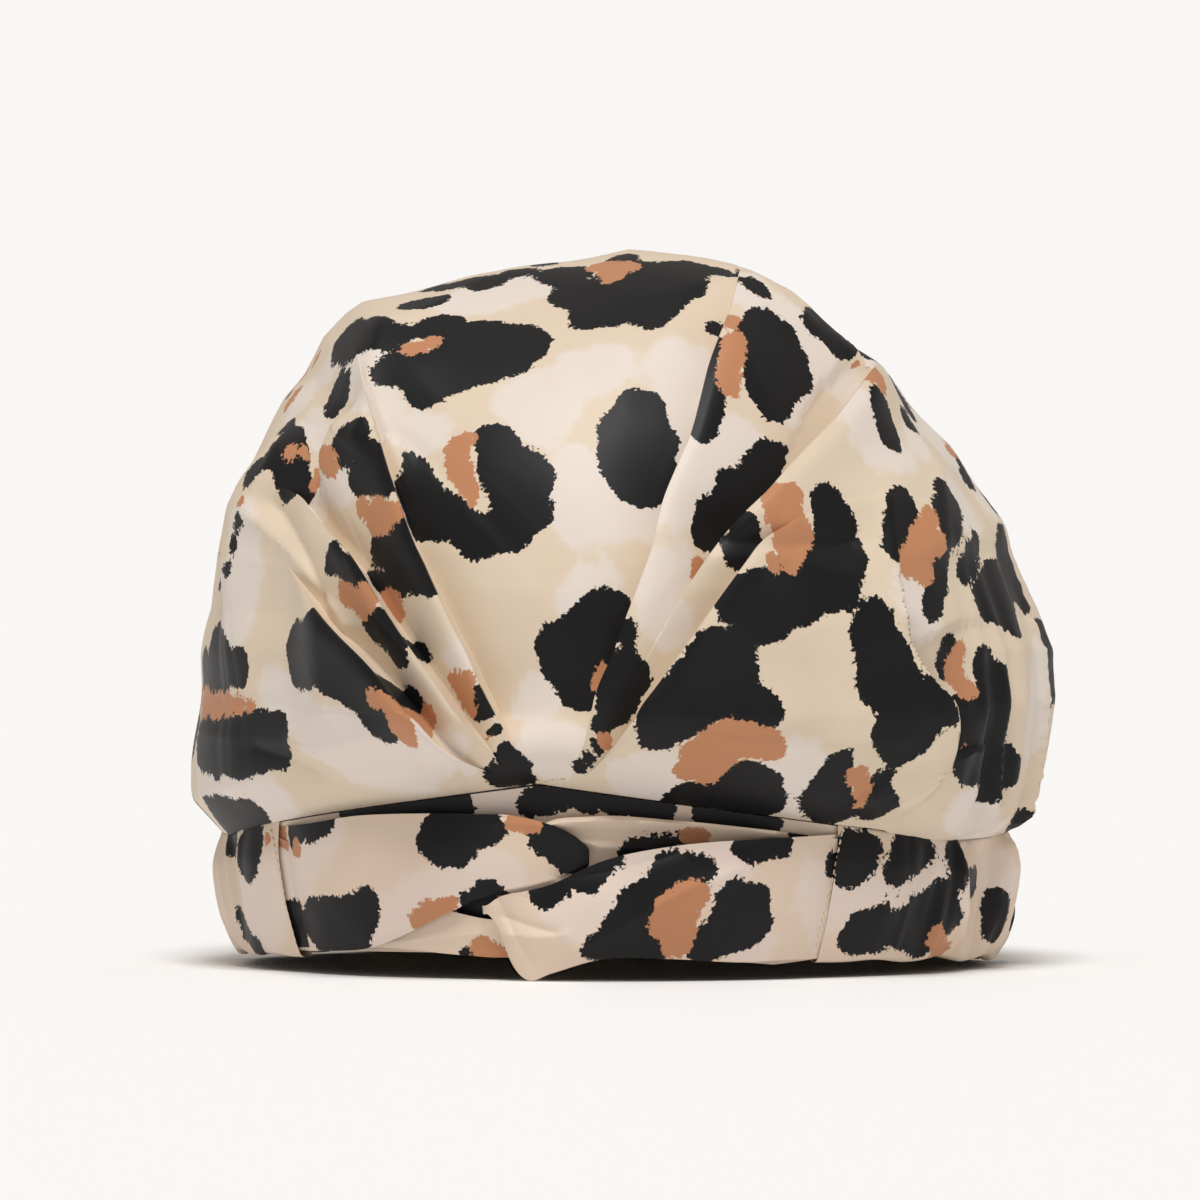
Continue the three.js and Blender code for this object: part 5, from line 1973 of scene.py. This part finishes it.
@dataclass(frozen=True)
class PrintedSatin:
    """Polyester satin with a clear waterproof coating on its back, printed with pigment in three passes.

    The weave is close and flat, so light slides along it in a soft, wide sheen. The pigment is sharp at its
    edge, but each brush mark was drawn with a dry bristle, so the edge is toothed. The ground was washed on
    wet, so it runs out softly and has faint stains. The real weave is about 0.15 mm wide, finer than the
    picture can hold, so it is drawn coarser. Widths and heights are in millimetres.
    """

    ground: str = "#DAC8B1"
    cream: str = "#DFD3C8"
    stain: str = "#CDB698"
    # Pink shade for the band: partly the cloth's own pink lean, partly painted shade for its downward face.
    pink: str = "#E4C9B8"
    charcoal: str = "#131213"
    caramel: str = "#BC835E"
    cream_edge: PaintEdge = PaintEdge(2.0, 9.0, 2.2, 4.0)
    charcoal_edge: PaintEdge = PaintEdge(3.8, 4.0, 0.25)
    caramel_edge: PaintEdge = PaintEdge(4.2, 4.0, 0.3)
    stain_share: float = 0.35
    tooth: float = 1.3
    wave: float = 6.0
    cloud: float = 11.0
    weave: float = 0.8
    weave_height: float = 0.2
    weave_strength: float = 0.12
    roughness: float = 0.46
    sheen: float = 0.03
    sheen_roughness: float = 0.5
    specular: float = 0.2

    def make(self, name: str, pink_shade_share: float) -> bpy.types.Material:
        """Makes the finish.

        Args:
            name: The material's name.
            pink_shade_share: How far the pale grounds lean to pink, partly the cloth's tint and partly
                painted shade.

        Returns:
            The material.
        """
        material = bpy.data.materials.new(name)
        material.use_nodes = True
        tree = material.node_tree
        shader = tree.nodes["Principled BSDF"]
        spots = add_node(tree, "ShaderNodeTexCoord").outputs["Object"]

        noises = []
        for size, detail in ((self.tooth, 2.0), (self.wave, 2.0), (self.cloud, 3.0)):
            swell = add_node(tree, "ShaderNodeTexNoise", in_0=spots, in_2=1.0 / (size * MM), in_3=detail)
            centred = add_node(tree, "ShaderNodeMath", operation="SUBTRACT", in_0=swell.outputs[0], in_1=0.5)
            noises.append(centred.outputs[0])
        teeth, waves, clouds = noises
        stains = add_node(
            tree, "ShaderNodeMath", operation="MULTIPLY", in_0=clouds, in_1=self.stain_share, use_clamp=True
        )
        masks = []
        edges = (self.cream_edge, self.charcoal_edge, self.caramel_edge)
        for paint, edge in zip((Paint.CREAM, Paint.CHARCOAL, Paint.CARAMEL), edges):
            depth = add_node(tree, "ShaderNodeAttribute", attribute_name=paint.value).outputs["Fac"]
            for swell, reach in ((teeth, edge.ragged), (waves, edge.waved)):
                moved = add_node(
                    tree, "ShaderNodeMath", operation="MULTIPLY_ADD", in_0=swell, in_1=reach, in_2=depth
                )
                depth = moved.outputs[0]
            mask = add_node(
                tree, "ShaderNodeMapRange", interpolation_type="SMOOTHSTEP",
                in_0=depth, in_1=-edge.soft - edge.run, in_2=edge.soft - edge.run,
            )
            masks.append(mask.outputs[0])
        cream, charcoal, caramel = masks
        colour = linear(self.ground)
        for share, hue in (
            (cream, self.cream), (stains.outputs[0], self.stain), (pink_shade_share, self.pink),
            (charcoal, self.charcoal), (caramel, self.caramel),
        ):
            laid = add_node(
                tree, "ShaderNodeMix", data_type="RGBA", in_0=share, in_6=colour, in_7=linear(hue)
            )
            colour = laid.outputs[2]
        tree.links.new(colour, shader.inputs["Base Color"])
        for socket, value in (
            ("Roughness", self.roughness), ("Sheen Weight", self.sheen),
            ("Sheen Roughness", self.sheen_roughness), ("Specular IOR Level", self.specular),
        ):
            shader.inputs[socket].default_value = value
        grain = add_node(tree, "ShaderNodeTexNoise", in_0=spots, in_2=1.0 / (self.weave * MM), in_3=1.0)
        bump = add_node(
            tree, "ShaderNodeBump",
            in_0=self.weave_strength, in_1=self.weave_height * MM, in_3=grain.outputs[0],
        )
        tree.links.new(bump.outputs[0], shader.inputs["Normal"])
        return material


@dataclass(frozen=True)
class PlainFinish:
    """An unprinted finish: the lining's film, the knitted elastic, the spun thread or the floor.

    Its grain is the width of its ribs, fibres or ripples in millimetres, or 0 for none. The hollow is the
    colour between them, where they lie in their own shade.
    """

    colour: str
    roughness: float
    sheen: float = 0.0
    hollow: str = ""
    grain: float = 0.0
    relief: float = 0.1
    strength: float = 0.5
    valley: float = 0.3
    crest: float = 0.6

    def make(self, name: str) -> bpy.types.Material:
        """Makes the finish.

        Args:
            name: The material's name.

        Returns:
            The material.
        """
        material = bpy.data.materials.new(name)
        material.use_nodes = True
        tree = material.node_tree
        shader = tree.nodes["Principled BSDF"]
        shader.inputs["Base Color"].default_value = linear(self.colour)
        shader.inputs["Roughness"].default_value = self.roughness
        shader.inputs["Sheen Weight"].default_value = self.sheen
        if self.grain:
            spots = add_node(tree, "ShaderNodeTexCoord").outputs["Object"]
            grain = add_node(tree, "ShaderNodeTexNoise", in_0=spots, in_2=1.0 / (self.grain * MM), in_3=1.0)
            ridges = add_node(
                tree, "ShaderNodeMapRange", interpolation_type="SMOOTHSTEP",
                in_0=grain.outputs[0], in_1=self.valley, in_2=self.crest,
            ).outputs[0]
            shades = add_node(
                tree, "ShaderNodeMix", data_type="RGBA",
                in_0=ridges, in_6=linear(self.hollow), in_7=linear(self.colour),
            )
            tree.links.new(shades.outputs[2], shader.inputs["Base Color"])
            bump = add_node(tree, "ShaderNodeBump", in_0=self.strength, in_1=self.relief * MM, in_3=ridges)
            tree.links.new(bump.outputs[0], shader.inputs["Normal"])
        return material


@dataclass
class Lining:
    """The waterproof film inside the crown."""

    form: CrownForm
    fit: OutlineFit
    inset: float = 13.0
    edge_inset: float = 1.2
    edge_fade: float = 26.0
    columns: int = 160
    rows: int = 60
    first_reach: float = 0.01
    last_reach: float = 0.995
    wrinkles: Swells = Swells(22.0, 0.8, Seed.LINING_WRINKLES)

    def surface(self) -> ClothSurface:
        """Works out the lining's film.

        Returns:
            The film, drawn to the crown's outline.
        """
        turn = (np.arange(self.columns) * 2.0 * math.pi / self.columns)[:, None]
        reach = np.linspace(self.first_reach, self.last_reach, self.rows)[None, :]
        p, q = reach * np.sin(turn), -reach * np.cos(turn)
        loose = smooth((1.0 - reach) * self.form.half_width / self.edge_fade)
        normal = self.form.normal(p, q)
        points = self.form.surface(p, q) - normal * (self.inset * loose + self.edge_inset)[..., None]
        points = points + normal * (self.wrinkles.at(points) * loose)[..., None]
        return ClothSurface("crown_lining_film", points + self.fit.moves(points), closed=True)


@dataclass
class Elastic:
    """The elastic strip inside the casing."""

    band: BandForm
    out: float = -0.9
    thickness: float = 0.8
    low_clear: float = 3.0
    high_clear: float = 8.0
    end_clear: float = 3.0
    columns: int = 240

    def surface(self) -> ClothSurface:
        """Works out the strip's skin.

        Returns:
            The skin, as a flat tube that is open at both ends.
        """
        _, turn = self.band.back_turns(-self.end_clear, -self.end_clear, self.columns)
        low = self.band.rim_height(turn) + self.low_clear
        high = self.band.seam_height(turn) - self.high_clear
        outs = np.array([0.0, 0.0, -self.thickness, -self.thickness]) + self.out
        points = self.band.points(turn, np.hstack([low, high, high, low]), outs)
        return ClothSurface("elastic_braid", points, ring=True)


@dataclass
class StitchRow:
    """A row of short stitches over cloth, each a rounded length of thread that dips in at its ends."""

    name: str
    path: Points
    normals: Points
    pitch: float = 2.5
    share: float = 0.74
    thick: float = 0.34
    rings: int = 7
    sides: int = 6
    blunt: float = 0.02
    crown: float = 0.9
    dip: float = 1.1

    def build(self, origin: Points, material: bpy.types.Material) -> bpy.types.Object:
        """Makes the stitches as one piece.

        Args:
            origin: The middle of the band in the row frame.
            material: The finish.

        Returns:
            The object.
        """
        walked = np.concatenate([[0.0], np.cumsum(np.linalg.norm(np.diff(self.path, axis=0), axis=1))])
        count = max(1, int(walked[-1] / self.pitch))
        corners: list[Points] = []
        faces: list[tuple[int, ...]] = []
        shares = np.linspace(-1.0, 1.0, self.rings)
        body = np.sqrt(np.maximum(1.0 - shares**4, self.blunt)) * self.thick
        lift = self.thick * (self.crown - self.dip * shares**4)
        for k in range(count):
            spots = (k + 0.5) * walked[-1] / count + shares * (self.pitch * self.share / 2.0)
            centre = as_points(*(np.interp(spots, walked, part) for part in self.path.T))
            normal = unit(as_points(*(np.interp(spots, walked, part) for part in self.normals.T)))
            across = np.cross(unit(np.gradient(centre, axis=0)), normal)
            base = len(corners)
            for i in range(self.rings):
                for turn in np.arange(self.sides) * 2.0 * math.pi / self.sides:
                    ring = across[i] * math.cos(turn) + normal[i] * math.sin(turn)
                    corners.append(centre[i] + normal[i] * lift[i] + ring * body[i])
            for i in range(self.rings - 1):
                for j in range(self.sides):
                    a, b = base + i * self.sides + j, base + i * self.sides + (j + 1) % self.sides
                    faces.append((a, b, b + self.sides, a + self.sides))
            faces.append(tuple(base + j for j in reversed(range(self.sides))))
            faces.append(tuple(base + (self.rings - 1) * self.sides + j for j in range(self.sides)))
        return add_piece(self.name, np.array(corners) + origin, faces, material)


@dataclass
class Stitching:
    """The cap's four rows of stitches, three along the photograph's pixels and one round the crown's seam."""

    view: PhotoView
    form: CrownForm
    left_seam: Polyline = ((271, 828), (286, 905), (297, 946))
    right_seam: Polyline = ((842, 830), (831, 886), (816, 948))
    tack: Polyline = ((534, 780), (545, 782), (556, 779), (567, 779))
    seam_points: int = 60
    tack_points: int = 20
    crown_points: int = 721
    crown_reach: float = 0.985
    crown_inset: float = 3.0
    crown_pitch: float = 7.8
    crown_share: float = 0.6

    def rows(self, crown: ClothSurface, bands: list[ClothSurface]) -> list[StitchRow]:
        """Lays the rows on their cloth.

        Args:
            crown: The crown's cloth.
            bands: The casing's and the loops' cloths.

        Returns:
            The rows at the left seam, the right seam, the tack and the crown's seam.
        """
        corners: list[list[float]] = []
        faces: list[tuple[int, ...]] = []
        for cloth in bands:
            faces += [tuple(corner + len(corners) for corner in face) for face in cloth.faces()]
            corners += cloth.places().tolist()
        band_tree = BVHTree.FromPolygons(corners, faces)
        turn = np.radians(np.linspace(-180.0, 180.0, self.crown_points))
        seam = self.form.surface(np.sin(turn) * self.crown_reach, -np.cos(turn) * self.crown_reach)
        inward = -level_out(seam)
        inner = seam + inward * self.crown_inset
        return [
            StitchRow("left_seam_thread", *self.path_over(band_tree, self.left_seam, self.seam_points)),
            StitchRow("right_seam_thread", *self.path_over(band_tree, self.right_seam, self.seam_points)),
            StitchRow("tack_thread", *self.path_over(crown.tree(), self.tack, self.tack_points)),
            StitchRow("crown_seam_thread", inner, inward, self.crown_pitch, self.crown_share),
        ]

    def path_over(self, tree: BVHTree, pixels: Polyline, count: int) -> tuple[Points, Points]:
        """Lays a path of pixels on cloth.

        Args:
            tree: The cloth.
            pixels: The path's corners.
            count: How many points the path gets.

        Returns:
            The points and the directions out of the cloth.
        """
        corners = np.array(pixels, float)
        walked = np.concatenate([[0.0], np.cumsum(np.hypot(*np.diff(corners, axis=0).T))])
        spots, normals = [], []
        for distance in np.linspace(0.0, walked[-1], count):
            start, direction = self.view.ray(tuple(np.interp(distance, walked, part) for part in corners.T))
            spot, normal, _, _ = tree.ray_cast(start, direction)
            if spot is not None:
                spots.append(np.array(spot))
                normals.append(np.array(normal) * (1.0 if normal.dot(direction) < 0.0 else -1.0))
        return np.array(spots), np.array(normals)


@dataclass
class Studio:
    """The pale floor, the soft lights and the white surroundings."""

    half_floor: float = 32000.0
    floor_colour: str = "#FCFCFC"
    floor_roughness: float = 0.6
    surroundings: float = 0.4
    surround_tint: tuple[float, float, float, float] = (1.0, 0.95, 0.9, 1.0)
    sun_strength: float = 2.3
    sun_softness: float = 22.0
    sun_from: tuple[float, float, float] = (0.1, -0.42, 1.0)

    def build(self) -> None:
        """Makes the stage and its lights."""
        corners = np.array([(-1.0, -1.0, 0.0), (1.0, -1.0, 0.0), (1.0, 1.0, 0.0), (-1.0, 1.0, 0.0)])
        finish = PlainFinish(self.floor_colour, self.floor_roughness).make("pale_floor")
        add_piece("pale_floor", corners * self.half_floor, [(0, 1, 2, 3)], finish)
        world = bpy.data.worlds.new("studio")
        world.use_nodes = True
        background = world.node_tree.nodes["Background"]
        background.inputs[0].default_value = self.surround_tint
        background.inputs[1].default_value = self.surroundings
        bpy.context.scene.world = world
        data = bpy.data.lights.new("overhead_softbox", "SUN")
        data.energy, data.angle = self.sun_strength, math.radians(self.sun_softness)
        lamp = bpy.data.objects.new("overhead_softbox", data)
        lamp.location = self.sun_from
        lamp.rotation_mode = "QUATERNION"
        lamp.rotation_quaternion = (-Vector(self.sun_from)).to_track_quat("-Z", "Y")
        bpy.context.scene.collection.objects.link(lamp)
        bpy.context.scene.view_settings.view_transform = "Standard"


def main() -> None:
    """Builds the cap's pieces in order and reports each of them."""
    logging.basicConfig(level=logging.INFO, format="%(message)s")
    low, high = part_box("crown_seam_stitches")
    origin = np.array([(low.x + high.x) / 2.0, (low.y + high.y) / 2.0, 0.0]) / MM
    view = PhotoView()
    view.camera(origin)
    band = BandForm()
    form = CrownForm(band)
    leopard = LeopardPrint(view)

    # The band's strips take a darker, pinker ground: partly the cloth's own lean to pink, partly painted
    # shade.
    satin = PrintedSatin().make("printed_satin", pink_shade_share=0.0)
    pink_shaded_band_satin = PrintedSatin().make("printed_satin_band", pink_shade_share=0.36)
    # Cast polyethylene film: smooth, with faint ripples and a soft gloss.
    film = PlainFinish("#E4DCD2", 0.35, hollow="#DBD1C5", grain=3.0).make("lining_film")
    # Knitted polyester elastic: matt and a little fuzzy, with ribs about a millimetre wide.
    braid = PlainFinish("#ECE8DE", 0.85, 0.3, hollow="#D3CCBE", grain=1.0, relief=0.3).make("elastic_braid")
    # Spun polyester thread: matt, with its fibres drawn coarser than their real 0.02 mm so that they show.
    thread = PlainFinish("#F0D5B0", 0.6, 0.2, hollow="#DDBB8E", grain=0.35).make("peach_thread")

    pleated = Crown(form, view)
    crown_cloth = leopard.colour(pleated.surface(), Seed.CROWN_PRINT)
    left_loop = BandLoop("printed_left_loop", LEFT_LOOP, band, view)
    left_cloth = leopard.colour(left_loop.surface(), Seed.LEFT_PRINT)
    right_loop = BandLoop("printed_right_loop", RIGHT_LOOP, band, view)
    right_cloth = leopard.colour(right_loop.surface(), Seed.RIGHT_PRINT)
    facing_cloth = leopard.colour(Facing(band).surface(), Seed.FACING_PRINT, spread=False)
    casing_cloth = leopard.colour(Casing(band).surface(), Seed.CASING_PRINT)
    crown = crown_cloth.build(origin, satin)
    left, right, facing, casing = (
        cloth.build(origin, pink_shaded_band_satin) for cloth in (left_cloth, right_cloth, facing_cloth, casing_cloth)
    )
    lining = Lining(form, pleated.fit).surface().build(origin, film)
    elastic = Elastic(band).surface().build(origin, braid)
    rows = Stitching(view, form).rows(crown_cloth, [casing_cloth, left_cloth, right_cloth])
    left_seam, right_seam, tack, crown_seam = (row.build(origin, thread) for row in rows)

    for piece, slot, nodes in (
        (crown, "printed_satin", ("crown_shell",)),
        (lining, "lining_film", ("crown_lining",)),
        (left, "printed_satin", ("left_band_loop",)),
        (right, "printed_satin", ("right_band_loop",)),
        (facing, "printed_satin", ("front_facing",)),
        (casing, "printed_satin", ("back_casing",)),
        (elastic, "elastic_braid", ("elastic_strip",)),
        (left_seam, "peach_thread", ("left_seam_stitches",)),
        (right_seam, "peach_thread", ("right_seam_stitches",)),
        (tack, "peach_thread", ("tack_stitches",)),
        (crown_seam, "peach_thread", ("crown_seam_stitches",)),
    ):
        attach(piece, CAP_BODY)
        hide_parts(*nodes)
        LOG.info("%s: %d points", piece.name, len(piece.data.vertices))
    Studio().build()


if __name__ == "__main__":
    main()
